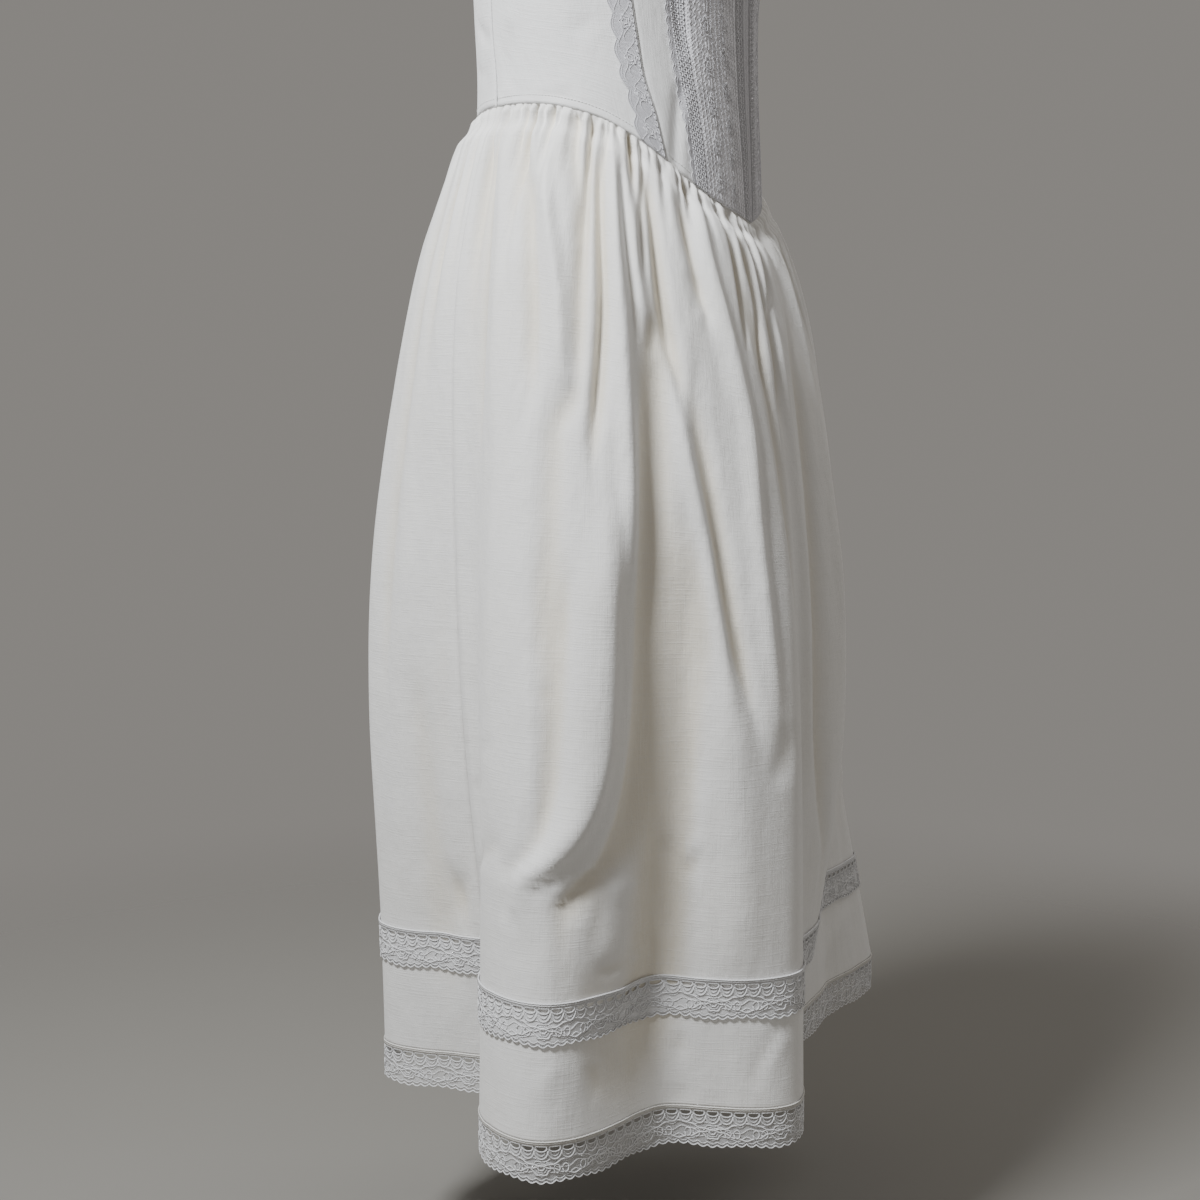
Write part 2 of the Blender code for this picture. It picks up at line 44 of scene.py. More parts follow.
def smoothCurve(x, knots, values):
    # the cubic through the knots, its slopes the harmonic means of the rises on both sides, so that it doesn't overshoot
    # values may hold a column for each x
    x, knots, values = (np.asarray(a, float) for a in (x, knots, values))
    steps = np.diff(knots)
    wide = steps.reshape((-1,) + (1,) * (values.ndim - 1))
    rises = np.diff(values, axis=0) / wide
    before, after = rises[:-1], rises[1:]
    same = before * after > 0
    inner = np.where(same, 2 * before * after / np.where(same, before + after, 1), 0)
    slopes = np.concatenate([rises[:1], inner, rises[-1:]])
    x = np.clip(x, knots[0], knots[-1])
    k = np.clip(np.searchsorted(knots, x) - 1, 0, len(steps) - 1)
    share = (x - knots[k]) / steps[k]
    pick = (lambda table, n: table[n, np.arange(values.shape[1])]) if values.ndim == 2 else (lambda table, n: table[n])
    low, high, rise, fall = pick(values, k), pick(values, k + 1), pick(slopes, k), pick(slopes, k + 1)
    turned = 1 - share
    return (low * (1 + 2 * share) * turned**2 + high * share**2 * (1 + 2 * turned)
            + steps[k] * share * turned * (rise * turned - fall * share))


def col(table, n):
    return np.array([row[n] for row in table], float)


def smoothStep(x, low, high):  # 3t^2 - 2t^3 between low and high
    t = np.clip((x - low) / (high - low), 0, 1)
    return t * t * (3 - 2 * t)


def unit(v):
    return v / np.maximum(np.linalg.norm(v, axis=-1, keepdims=True), 1e-12)


def refined(grid, rows, columns):
    # a coarse grid of numbers made finer: the smooth curve down each column, then along each row
    down = np.stack([smoothCurve(np.linspace(0, len(grid) - 1, rows), np.arange(len(grid)), c) for c in grid.T], 1)
    wide = down.shape[1]
    return np.stack([smoothCurve(np.linspace(0, wide - 1, columns), np.arange(wide), r) for r in down])


def sampled(fine, s, t):
    # the fine grid's value at share s across and t along, as the mean of the four points around it
    x = np.clip(s, 0, 1) * (fine.shape[1] - 1)
    y = np.clip(t, 0, 1) * (fine.shape[0] - 1)
    i = np.minimum(x.astype(int), fine.shape[1] - 2)
    j = np.minimum(y.astype(int), fine.shape[0] - 2)
    u, v = x - i, y - j
    return (fine[j, i] * (1 - u) * (1 - v) + fine[j, i + 1] * u * (1 - v)
            + fine[j + 1, i] * (1 - u) * v + fine[j + 1, i + 1] * u * v)


# Meshes

def putMesh(name, points, faces, uv, material, shade=True, groove=None):
    # points n x 3, faces a list of m x 3 or m x 4 arrays, uv n x 2 in metres of cloth, groove the depth of a fold
    mesh = bpy.data.meshes.new(name)
    corners = np.concatenate([f.ravel() for f in faces]).astype(np.int32)
    wide = np.concatenate([np.full(len(f), f.shape[1]) for f in faces]).astype(np.int32)
    mesh.vertices.add(len(points))
    mesh.vertices.foreach_set("co", np.asarray(points, np.float32).ravel())
    mesh.loops.add(len(corners))
    mesh.loops.foreach_set("vertex_index", corners)
    mesh.polygons.add(len(wide))
    mesh.polygons.foreach_set("loop_start", np.concatenate([[0], np.cumsum(wide)[:-1]]).astype(np.int32))
    mesh.polygons.foreach_set("loop_total", wide)
    mesh.update(calc_edges=True)
    layer = mesh.uv_layers.new(name="cloth")
    layer.data.foreach_set("uv", np.asarray(uv, np.float32)[corners].ravel())
    if groove is not None:
        mesh.attributes.new("groove", "FLOAT", "POINT").data.foreach_set("value", groove.astype(np.float32))
    if shade:
        mesh.shade_smooth()
    mesh.materials.append(material)
    thing = bpy.data.objects.new(name, mesh)
    bpy.context.scene.collection.objects.link(thing)
    return thing


def signedVolume(points, faces):  # a sixth of the triple products, summed over each face cut from its first corner
    total = 0.0
    for f in faces:
        for k in range(1, f.shape[1] - 1):
            a, b, c = points[f[:, 0]], points[f[:, k]], points[f[:, k + 1]]
            total += np.einsum("ij,ij->i", a, np.cross(b, c)).sum()
    return total


def gridFaces(rows, columns, solid=None, first=0):
    number = first + np.arange(rows * columns).reshape(rows, columns)
    corners = np.stack([number[:-1, :-1], number[1:, :-1], number[1:, 1:], number[:-1, 1:]], -1)
    return corners.reshape(-1, 4) if solid is None else corners[solid]


def shellMesh(name, outer, inner, uv, material, faces=None, groove=None):
    # a closed wall: the outer faces, the inner ones turned round, and a quad on each edge that only one face has
    if faces is None:
        faces = [gridFaces(*outer.shape[:2])]
    outer, inner, uv = outer.reshape(-1, 3), inner.reshape(-1, 3), uv.reshape(-1, 2)
    count = len(outer)
    starts = np.concatenate([f.ravel() for f in faces])
    ends = np.concatenate([np.roll(f, -1, 1).ravel() for f in faces])
    single = ~np.isin(starts * count + ends, ends * count + starts)
    a, b = starts[single], ends[single]
    walls = [*faces, *[f[:, ::-1] + count for f in faces], np.stack([b, a, a + count, b + count], -1)]
    points = np.concatenate([outer, inner])
    if signedVolume(points, walls) < 0:
        walls = [f[:, ::-1] for f in walls]
    used = np.zeros(len(points), bool)
    for f in walls:
        used[f] = True
    place = np.cumsum(used) - 1
    if groove is not None:
        groove = np.concatenate([groove, groove])[used]
    return putMesh(name, points[used], [place[f] for f in walls], np.concatenate([uv, uv])[used], material,
                   groove=groove)


def tubes(paths, normals, radius, sides=5, flat=1.0, taper=None):
    # rings round each point of each path: point + radius (cos a x side + flat sin a x normal), with a cap at both ends
    way = unit(np.gradient(paths, axis=1))
    side = unit(np.cross(way, normals))
    out = unit(np.cross(side, way))
    turn = np.linspace(0, 2 * np.pi, sides, endpoint=False)
    size = radius if taper is None else radius * taper[..., None, None]
    ring = (side[:, :, None] * np.cos(turn)[:, None] + out[:, :, None] * (flat * np.sin(turn))[:, None]) * size
    points = paths[:, :, None] + ring
    count, length = paths.shape[:2]
    number = np.arange(count * length * sides).reshape(count, length, sides)
    turned = np.roll(number, -1, axis=2)
    walls = np.stack([number[:, :-1], turned[:, :-1], turned[:, 1:], number[:, 1:]], -1).reshape(-1, 4)
    caps = []
    for ring, way in ((number[:, 0], -1), (number[:, -1], 1)):
        for k in range(1, sides - 1, 2):
            quad = np.stack([ring[:, 0], ring[:, k], ring[:, k + 1], ring[:, min(k + 2, sides - 1)]], -1)
            caps.append(quad[:, ::way])
    return points.reshape(-1, 3), np.concatenate([walls, *caps])


def joinedTubes(name, batches, material):
    # several batches of tubes as one mesh, its UV two sums of each point's coordinates, x + z and y - z
    points, faces, start = [], [], 0
    for p, f in batches:
        points.append(p)
        faces.append(f + start)
        start += len(p)
    points, faces = np.concatenate(points), [np.concatenate(faces)]
    if signedVolume(points, faces) < 0:
        faces = [faces[0][:, ::-1]]
    uv = np.stack([points[:, 2] + points[:, 0], points[:, 1] - points[:, 2]], 1)
    return putMesh(name, points, faces, uv, material)


# Materials

class Value:  # a socket that can stand in a sum
    def __init__(self, kit, socket):
        self.kit, self.socket = kit, socket

    def math(self, operation, *others):
        return self.kit.node("ShaderNodeMath", {"operation": operation}, [self, *others])

    def __add__(self, other): return self.math("ADD", other)
    def __sub__(self, other): return self.math("SUBTRACT", other)
    def __mul__(self, other): return self.math("MULTIPLY", other)
    def __truediv__(self, other): return self.math("DIVIDE", other)
    def __rsub__(self, other): return self.kit.node("ShaderNodeMath", {"operation": "SUBTRACT"}, [other, self])
    def __rtruediv__(self, other): return self.kit.node("ShaderNodeMath", {"operation": "DIVIDE"}, [other, self])
    __radd__ = __add__
    __rmul__ = __mul__

    def sine(self): return self.math("SINE")
    def absolute(self): return self.math("ABSOLUTE")
    def fraction(self): return self.math("FRACT")
    def power(self, other): return self.math("POWER", other)
    def most(self, other): return self.math("MAXIMUM", other)
    def least(self, other): return self.math("MINIMUM", other)
    def root(self): return self.math("SQRT")

    def step(self, low, high):  # smooth step from 0 at low to 1 at high
        return self.kit.node("ShaderNodeMapRange", {"interpolation_type": "SMOOTHSTEP"},
                             {"Value": self, "From Min": low, "From Max": high, "To Min": 0.0, "To Max": 1.0})


class Kit:  # the nodes of one material
    def __init__(self, name):
        self.material = bpy.data.materials.new(name)
        self.material.use_nodes = True
        self.tree = self.material.node_tree
        self.shader = self.tree.nodes["Principled BSDF"]

    def node(self, kind, settings=None, values=(), out=0):
        made = self.tree.nodes.new(kind)
        for key, value in (settings or {}).items():
            setattr(made, key, value)
        pairs = values.items() if isinstance(values, dict) else enumerate(values)
        for key, value in pairs:
            if isinstance(value, Value):
                self.tree.links.new(value.socket, made.inputs[key])
            else:
                made.inputs[key].default_value = value
        return Value(self, made.outputs[out])

    def axes(self, vector):
        made = self.tree.nodes.new("ShaderNodeSeparateXYZ")
        self.tree.links.new(vector.socket, made.inputs[0])
        return [Value(self, output) for output in made.outputs]

    def cloth(self):  # metres across and along the cloth
        return self.axes(self.node("ShaderNodeUVMap", {"uv_map": "cloth"}))[:2]

    def place(self):  # the point in the part's own frame
        return self.node("ShaderNodeTexCoord", out=3)

    def joined(self, x, y, z=0.0):
        return self.node("ShaderNodeCombineXYZ", None, [x, y, z])

    def noise(self, vector, scale, detail=2.0, rough=0.5):
        return self.node("ShaderNodeTexNoise", None,
                         {"Vector": vector, "Scale": scale, "Detail": detail, "Roughness": rough})

    def mixed(self, factor, first, second):  # colours by a factor
        made = self.tree.nodes.new("ShaderNodeMix")
        made.data_type = "RGBA"
        for key, value in (("Factor_Float", factor), ("A_Color", first), ("B_Color", second)):
            socket = next(s for s in made.inputs if s.identifier == key)
            if isinstance(value, Value):
                self.tree.links.new(value.socket, socket)
            else:
                socket.default_value = value if key == "Factor_Float" else (*value, 1.0)
        return Value(self, next(s for s in made.outputs if s.identifier == "Result_Color"))

    def bump(self, height, distance, strength=1.0, onto=None):
        values = {"Strength": strength, "Distance": distance, "Height": height}
        if onto is not None:
            values["Normal"] = onto
        return self.node("ShaderNodeBump", None, values)

    def finish(self, **sockets):
        for key, value in sockets.items():
            socket = self.shader.inputs[key.replace("_", " ")]
            if isinstance(value, Value):
                self.tree.links.new(value.socket, socket)
            else:
                socket.default_value = (*value, 1.0) if isinstance(value, tuple) else value
        return self.material


clothLook = {
    "skirt": (0.855, 0.848, 0.835),
    "blotchAndFoldShade": (0.79, 0.735, 0.625),  # painted shade in the folds, also the tone of the random blotches
    "bodice": (0.85, 0.848, 0.845),
    "lace": (0.96, 0.96, 0.975),
    "bodiceLace": (0.80, 0.795, 0.84),
    "bodiceCord": (0.88, 0.875, 0.91),
    "heading": (0.88, 0.86, 0.82),
    "thread": (0.88, 0.88, 0.87),
    "weavePitch": 0.0009,
    "roughness": 0.82,
    "sheen": 0.25,
}


def weaveCloth(name, colour, blotchAndFoldShade, paintsFoldShade=False):
    # plain weave: a sine across times a sine along, thread slubs as noise drawn out along warp and weft, soft crumples
    # as two sizes of noise, random blotches of a second, warmer colour, and painted shade down in the folds in that
    # colour
    kit = Kit(name)
    u, v = kit.cloth()
    turn = 2 * np.pi / clothLook["weavePitch"]
    weave = (u * turn).sine() * (v * turn).sine()
    warp = kit.noise(kit.joined(u * 700, v * 26), 1.0, 3.0)
    weft = kit.noise(kit.joined(u * 30, v * 800, 3.7), 1.0, 3.0)
    slubs = warp.step(0.42, 0.78) + weft.step(0.42, 0.78)
    broad = kit.noise(kit.place(), 9.0, 3.0)
    crumple = kit.noise(kit.place(), 70.0, 4.0, 0.55)
    soft = kit.noise(kit.joined(u * 34, v * 16, 7.1), 1.0, 3.0, 0.5)
    # random blotches lean to the second colour; on the skirt the painted fold shade is added to the same mix
    shade = broad.step(0.25, 0.8) * 0.14
    # painted shade: the deeper the fold, the more the colour turns to the warm, darker second colour
    if paintsFoldShade:
        groove = kit.node("ShaderNodeAttribute", {"attribute_name": "groove"}, out=2)
        shade = shade + groove.step(0.0004, 0.0095) * 0.8
    tone = kit.mixed(shade.least(1.0), colour, blotchAndFoldShade)
    tone = kit.mixed(slubs * 0.22, tone, tuple(0.93 * c for c in colour))
    gentle = kit.bump(soft, 0.0032, 0.8)
    relief = kit.bump(slubs * 0.6 + weave * 0.25 + crumple * 1.6, 0.0005, 0.5, gentle)
    return kit.finish(Base_Color=tone, Roughness=clothLook["roughness"] - slubs * 0.05, Normal=relief,
                      Sheen_Weight=clothLook["sheen"], Sheen_Roughness=0.5, Specular_IOR_Level=0.25)


def netLace(name, colour, mesh=0.0019, cover=0.3, zigzag=0.0):
    # net: two families of slanted threads, bent into a zigzag along the lace, see-through between them
    kit = Kit(name)
    u, v = kit.cloth()
    if zigzag:
        u = u + ((v * (2 * np.pi / 0.0042)).sine()) * zigzag
    turn = 2 * np.pi / mesh
    one = ((u + v * 0.58) * turn).sine().absolute()
    two = ((u - v * 0.58) * turn).sine().absolute()
    net = 1 - one.least(two).step(0.15, 0.55)
    cloudy = kit.noise(kit.joined(u * 90, v * 90, 1.3), 1.0, 2.0).step(0.42, 0.62)
    alpha = (net * (0.5 + cloudy * 0.2)) * (1 - cover) + cover
    tone = kit.mixed(net, tuple(0.9 * c for c in colour), colour)
    relief = kit.bump(net + cloudy * 0.4, 0.0003, 0.6)
    return kit.finish(Base_Color=tone, Roughness=0.85, Normal=relief, Alpha=alpha, Sheen_Weight=0.2)


def rowLace(name, colour):
    # close rows of thread along the lace, each bent into a zigzag by a sine, fainter where a cloud of noise lies
    kit = Kit(name)
    u, v = kit.cloth()
    bent = u + (v * (2 * np.pi / 0.0066)).sine() * 0.0016
    rows = (bent * (np.pi / 0.0036)).sine().absolute()
    clouds = kit.noise(kit.joined(u * 60, v * 42, 2.9), 1.0, 2.0).step(0.40, 0.56)
    holes = (((v * (np.pi / 0.0033)).sine() * (u * (np.pi / 0.0036)).sine()).absolute()).step(0.45, 0.9) * (1 - clouds)
    raised = rows * (0.35 + clouds * 0.65) - holes * 0.6
    tone = kit.mixed(raised.step(-0.3, 0.9), tuple(0.78 * c for c in colour), tuple(min(1.0, 1.12 * c) for c in colour))
    return kit.finish(Base_Color=tone, Roughness=0.85, Normal=kit.bump(raised, 0.0006, 0.8), Alpha=1 - holes * 0.25,
                      Sheen_Weight=0.2)


def cordThread(name, colour):
    # twisted thread: slanted sine stripes
    kit = Kit(name)
    x, y, z = kit.axes(kit.place())
    twist = ((x + y + z * 1.7) * 5200).sine()
    tone = kit.mixed(twist * 0.5 + 0.5, tuple(0.9 * c for c in colour), colour)
    return kit.finish(Base_Color=tone, Roughness=0.8, Normal=kit.bump(twist, 0.0002, 0.5), Sheen_Weight=0.2)


skirtCloth = weaveCloth("skirtCloth", clothLook["skirt"], clothLook["blotchAndFoldShade"], True)
bodiceCloth = weaveCloth("bodiceCloth", clothLook["bodice"], (0.83, 0.83, 0.84))
bandNet = netLace("bandNet", clothLook["lace"], cover=0.70)
hemNet = netLace("hemNet", clothLook["lace"], cover=0.10)
bodiceNet = netLace("bodiceNet", clothLook["bodiceLace"], 0.0015, 0.55, 0.0005)
plastronNet = rowLace("plastronNet", clothLook["bodiceLace"])
laceThread = cordThread("laceThread", clothLook["lace"])
bodiceThread = cordThread("bodiceThread", clothLook["bodiceCord"])
headingThread = cordThread("headingThread", clothLook["heading"])
sewingThread = cordThread("sewingThread", clothLook["thread"])


# Bodice: level sections are half ovals, front and back, with a swelling at each side of the chest

bodice = {
    "fullLength": 1.350,
    "seam": ((0, 0.8415), (12, 0.8500), (24, 0.8610), (36, 0.8775), (45, 0.894), (54, 0.909), (65, 0.925),
             (76, 0.935), (90, 0.943), (105, 0.946), (125, 0.945), (150, 0.940), (180, 0.937)),  # angle, height
    "sections": ((-0.520, 0.146, 0.1335, 0.137), (-0.450, 0.145, 0.1305, 0.136), (-0.380, 0.143, 0.1270, 0.134),
                 (-0.315, 0.147, 0.1255, 0.136), (-0.250, 0.156, 0.1300, 0.137), (-0.190, 0.164, 0.1310, 0.134),
                 (-0.130, 0.166, 0.1180, 0.121), (-0.080, 0.165, 0.0900, 0.098), (-0.042, 0.153, 0.0560, 0.064),
                 (-0.020, 0.116, 0.0320, 0.038), (0.000, 0.079, 0.0120, 0.014)),  # z, half width, front, back
    "cup": {"angle": 37.0, "height": -0.195, "depth": 0.021, "width": 19.0, "tall": 0.055},
    "princess": ((0.103, -0.452), (0.1085, -0.420), (0.116, -0.380), (0.124, -0.318), (0.138, -0.250),
                 (0.148, -0.200), (0.1505, -0.150)),  # across, z
    "backSeam": ((0.122, -0.405), (0.121, -0.350), (0.125, -0.300), (0.138, -0.220), (0.150, -0.150)),
    "armholeUpper": ((0.1505, -0.150), (0.1490, -0.110), (0.1495, -0.075)),
    "neckFront": ((0.0, -0.088), (0.030, -0.084), (0.055, -0.069), (0.070, -0.044), (0.0760, -0.018)),
    "neckBack": ((0.0, -0.024), (0.035, -0.021), (0.060, -0.013)),
    "armholeLower": ((66, -0.150), (73, -0.181), (82, -0.200), (92, -0.206), (102, -0.200), (110, -0.181),
                     (115, -0.150)),  # angle, z
    "shoulderNeck": -0.001, "shoulderTip": -0.042, "shoulderAngle": 89.6,
    "seamRows": 9, "armholeRows": 6, "sideColumns": 8, "stripColumns": 3, "backColumns": 7,
    "princessFoot": 45.5, "backFoot": 121.0, "stripAngle": 11.5, "seamTop": -0.150,
    "lineHeights": (-0.430, -0.360, -0.300, -0.200),
    "lines": ((0.0, 0.0, 0.0, 0.0, 0.0, 0.0),  # centre front, then each lace edge: across at seam, heights, top
              (0.0045, 0.0065, 0.0085, 0.0100, 0.0110, 0.0110), (0.0130, 0.0180, 0.0215, 0.0240, 0.0260, 0.0260),
              (0.0300, 0.0350, 0.0410, 0.0450, 0.0470, 0.0520), (0.0500, 0.0550, 0.0620, 0.0660, 0.0680, 0.0788),
              (0.0680, 0.0720, 0.0820, 0.0890, 0.0920, 0.0940), (0.0830, 0.0880, 0.0985, 0.1060, 0.1100, 0.1110)),
    "cloth": 0.0009,  # visible cloth's thickness
    "seamDip": 0.0012, "seamDipWidth": 0.0022,
}


def section(z, n):
    return smoothCurve(z, col(bodice["sections"], 0), col(bodice["sections"], n))


def folded(angle):  # the angle from centre front, whichever side
    return np.abs((np.asarray(angle, float) + 180) % 360 - 180)


def bodicePoint(angle, z):
    # -(half width + cup) sin angle, -(depth + cup) cos angle, z
    angle, z = np.broadcast_arrays(np.asarray(angle, float), np.asarray(z, float))
    turn, cup = np.radians(angle), bodice["cup"]
    across, along = np.sin(turn), np.cos(turn)
    depth = np.where(along >= 0, section(z, 2), section(z, 3))
    away = ((folded(angle) - cup["angle"]) / cup["width"]) ** 2 + ((z - cup["height"]) / cup["tall"]) ** 2
    swelling = cup["depth"] * np.exp(-away)
    return np.stack([-across * (section(z, 1) + swelling), -along * (depth + swelling), z], -1)


def bodiceNormal(angle, z):
    around = bodicePoint(angle + 0.05, z) - bodicePoint(angle - 0.05, z)
    upward = bodicePoint(angle, z + 0.0002) - bodicePoint(angle, z - 0.0002)
    return unit(np.cross(upward, around))


def angleAt(across, z, back=False):
    limit = np.sin(np.radians(bodice["shoulderAngle"]))
    turn = np.degrees(np.arcsin(np.clip(across / section(z, 1), -limit, limit)))
    return 180 - turn if back else turn


def seamHeight(angle):
    return smoothCurve(folded(angle), col(bodice["seam"], 0), col(bodice["seam"], 1))


def shoulderLine(count):
    def ridge(z): return section(z, 1) * np.sin(np.radians(bodice["shoulderAngle"]))
    across = np.linspace(ridge(bodice["shoulderNeck"]), ridge(bodice["shoulderTip"]), count)
    return np.stack([across, shoulderHeight(across)], -1)


def shoulderHeight(across):
    z = np.linspace(bodice["shoulderNeck"], bodice["shoulderTip"], 400)
    return np.interp(across, section(z, 1) * np.sin(np.radians(bodice["shoulderAngle"])), z)


def alongTable(table, count):
    rows = np.array(table, float)
    lengths = np.concatenate([[0], np.cumsum(np.linalg.norm(np.diff(rows, axis=0), axis=1))])
    wanted = np.linspace(0, lengths[-1], count)
    return np.column_stack([smoothCurve(wanted, lengths, c) for c in rows.T])


def armholeLine(rows):
    return alongTable((*bodice["armholeUpper"], shoulderLine(2)[-1]), rows)


def frontFeet():
    across, turns = col(bodice["lines"], 0), np.zeros(len(bodice["lines"]))
    for _ in range(8):
        turns = angleAt(across, seamHeight(turns) - bodice["fullLength"])
    return np.append(turns, bodice["princessFoot"])


def seamFoot(angle):
    z = seamHeight(angle) - bodice["fullLength"]
    return section(z, 1) * np.sin(np.radians(angle)), z


def seamRowsOf(table, foot):
    table = np.array(table, float)
    table[0] = foot
    z = np.linspace(foot[1], bodice["seamTop"], bodice["seamRows"])
    return np.stack([smoothCurve(z, table[:, 1], table[:, 0]), z], -1)


def coonsPatch(bottom, top, left, right, share=None):
    # the two ruled surfaces between opposite edges, added, less the one through the four corners
    s = (np.linspace(0, 1, len(bottom)) if share is None else share)[None, :, None]
    t = np.linspace(0, 1, len(left))[:, None, None]
    ruled = (1 - t) * bottom[None] + t * top[None] + (1 - s) * left[:, None] + s * right[:, None]
    return ruled - ((1 - s) * (1 - t) * bottom[0] + s * (1 - t) * bottom[-1] + (1 - s) * t * top[0] + s * t * top[-1])


def frontNeck(across):
    corner = shoulderLine(2)[0]
    if across > corner[0]:
        return shoulderHeight(across)
    rows = np.array((*bodice["neckFront"], corner))
    return smoothCurve(across, rows[:, 0], rows[:, 1])


def frontGrid():
    foot = seamRowsOf(bodice["princess"], seamFoot(bodice["princessFoot"]))
    seam = np.concatenate([foot, armholeLine(bodice["armholeRows"])[1:]])
    share = np.linspace(0, 1, len(seam))
    angles, heights = [], []
    for line, turn in zip(bodice["lines"], frontFeet()):
        low, high = seamHeight(turn) - bodice["fullLength"], frontNeck(line[-1])
        z = low + (high - low) * share
        angles.append(angleAt(smoothCurve(z, (low, *bodice["lineHeights"], high), line), z))
        heights.append(z)
    angles.append(angleAt(seam[:, 0], seam[:, 1]))
    heights.append(seam[:, 1])
    return np.column_stack(angles), np.column_stack(heights)


def backGrid():
    turns = np.linspace(180, bodice["backFoot"], bodice["backColumns"])
    bottom = np.array([seamFoot(turn) for turn in turns])
    edge = np.concatenate([seamRowsOf(bodice["backSeam"], bottom[-1]), armholeLine(bodice["armholeRows"])[1:]])
    half = bodice["backColumns"] // 2
    ridge = shoulderLine(bodice["backColumns"] - half)
    top = np.concatenate([alongTable((*bodice["neckBack"], ridge[0]), half + 1), ridge[1:]])
    grid = coonsPatch(bottom, top, np.linspace(bottom[0], top[0], len(edge)), edge)
    turn = angleAt(grid[..., 0], grid[..., 1], back=True)
    turn[:, 0] = 180.0
    return (np.concatenate([turn[:, ::-1], 360 - turn[:, 1:]], 1),
            np.concatenate([grid[:, ::-1, 1], grid[:, 1:, 1]], 1))


def sideGrid():
    strip = np.linspace(0, bodice["stripAngle"], bodice["stripColumns"])
    rest = np.linspace(bodice["stripAngle"], bodice["backFoot"] - bodice["princessFoot"],
                       bodice["sideColumns"] - bodice["stripColumns"] + 1)
    turns = bodice["princessFoot"] + np.append(strip, rest[1:])
    edges = []
    for table, turn, back in ((bodice["princess"], turns[0], False), (bodice["backSeam"], turns[-1], True)):
        seam = seamRowsOf(table, seamFoot(turn))
        edges.append(np.stack([angleAt(seam[:, 0], seam[:, 1], back), seam[:, 1]], -1))
    bottom = np.stack([turns, seamHeight(turns) - bodice["fullLength"]], -1)
    share = (turns - turns[0]) / (turns[-1] - turns[0])
    rows = np.array(bodice["armholeLower"], float)
    rows[0], rows[-1] = edges[0][-1], edges[1][-1]
    along = np.linspace(0, 1, len(rows))
    top = np.column_stack([smoothCurve(share, along, c) for c in rows.T])
    side = coonsPatch(bottom, top, *edges, share)
    return side[..., 0], side[..., 1]


# Creases: each row is a soft trough (depth below zero) or ridge from one place to another.
# Columns: turn and height of its start, turn and height of its end, bow to the side, half width, depth (all but turns in metres)

def creaseDepth(turn, height, radius, table):
    # depth x exp(-(offset / half width)^2), fading towards both ends, the offset measured from the bowed line
    metres = np.radians(1) * radius
    total = np.zeros(np.shape(turn))
    for t0, h0, t1, h1, bow, width, depth in table:
        ax, ay = t0 * metres, h0
        bx, by = (t1 - t0) * metres, h1 - h0
        length = np.hypot(bx, by)
        px, py = ((turn - t0 + 180) % 360 - 180) * metres, height - ay
        s = (px * bx + py * by) / length**2
        offset = (px * by - py * bx) / length - bow * 4 * s * (1 - s)
        past = np.maximum(np.maximum(-s, s - 1), 0) * length
        fade = np.clip(4 * s * (1 - s), 0, 1) ** 0.8 * np.exp(-((past / width) ** 2))
        total += depth * np.exp(-((offset / width) ** 2)) * fade
    return total


bodiceCreases = (
    (36, -0.364, 41.5, -0.290, 0.002, 0.0070, -0.0028),  # soft folds between plastron and princess strip
    (41.5, -0.478, 38.5, -0.385, 0.002, 0.0060, -0.0034),
    (38.5, -0.470, 36.2, -0.392, 0.001, 0.0050, 0.0014),
    (112, -0.330, 118, -0.398, 0.004, 0.0080, -0.0018),  # small of the back
    (124, -0.345, 140, -0.325, 0.003, 0.0070, -0.0024),
    (128, -0.375, 150, -0.362, 0.002, 0.0060, -0.0016),
    (205, -0.340, 232, -0.350, -0.003, 0.0070, -0.0022),
    (214, -0.372, 236, -0.376, -0.002, 0.0060, -0.0015),
    (172, -0.300, 190, -0.306, 0.002, 0.0090, -0.0016),
    (80, -0.395, 98, -0.400, 0.002, 0.0060, -0.0008),
    (70, -0.330, 84, -0.345, 0.003, 0.0080, -0.0009),
    (284, -0.340, 268, -0.352, 0.003, 0.0080, -0.0010),
    (322, -0.455, 325, -0.375, 0.002, 0.0055, -0.0016),
    (320, -0.350, 327, -0.310, -0.002, 0.0060, -0.0012),
    (62, -0.215, 74, -0.250, 0.003, 0.0060, -0.0012),  # drag lines under the arms
    (298, -0.215, 286, -0.246, -0.003, 0.0060, -0.0012),
)


def bodiceSurface(angle, z, lift):
    # the panel's surface with its creases, moved out by the lift
    crease = creaseDepth(angle, z, 0.145, bodiceCreases)
    return bodicePoint(angle, z) + bodiceNormal(angle, z) * (crease + lift)[..., None]


def edgeDistance(points):
    # metres from each point to the grid's left and right edges, measured along the row
    steps = np.linalg.norm(np.diff(points, axis=1), axis=-1)
    along = np.concatenate([np.zeros((len(points), 1)), np.cumsum(steps, 1)], 1)
    return along, along[:, -1:] - along


def panelUv(points):
    # across from the middle of each row, and up the middle column
    across, rest = edgeDistance(points)
    middle = points[:, points.shape[1] // 2]
    up = np.concatenate([[0], np.cumsum(np.linalg.norm(np.diff(middle, axis=0), axis=1))])
    return np.stack([(across - rest) / 2, np.broadcast_to(up[:, None], across.shape)], -1)


def mirror(grid):
    return grid[:, ::-1] * np.array([-1, 1, 1])


def pullIn(grid, gap):
    for edge, inner in ((0, 1), (-1, -2)):
        grid[:, edge] += unit(grid[:, inner] - grid[:, edge]) * gap / 2
    return grid


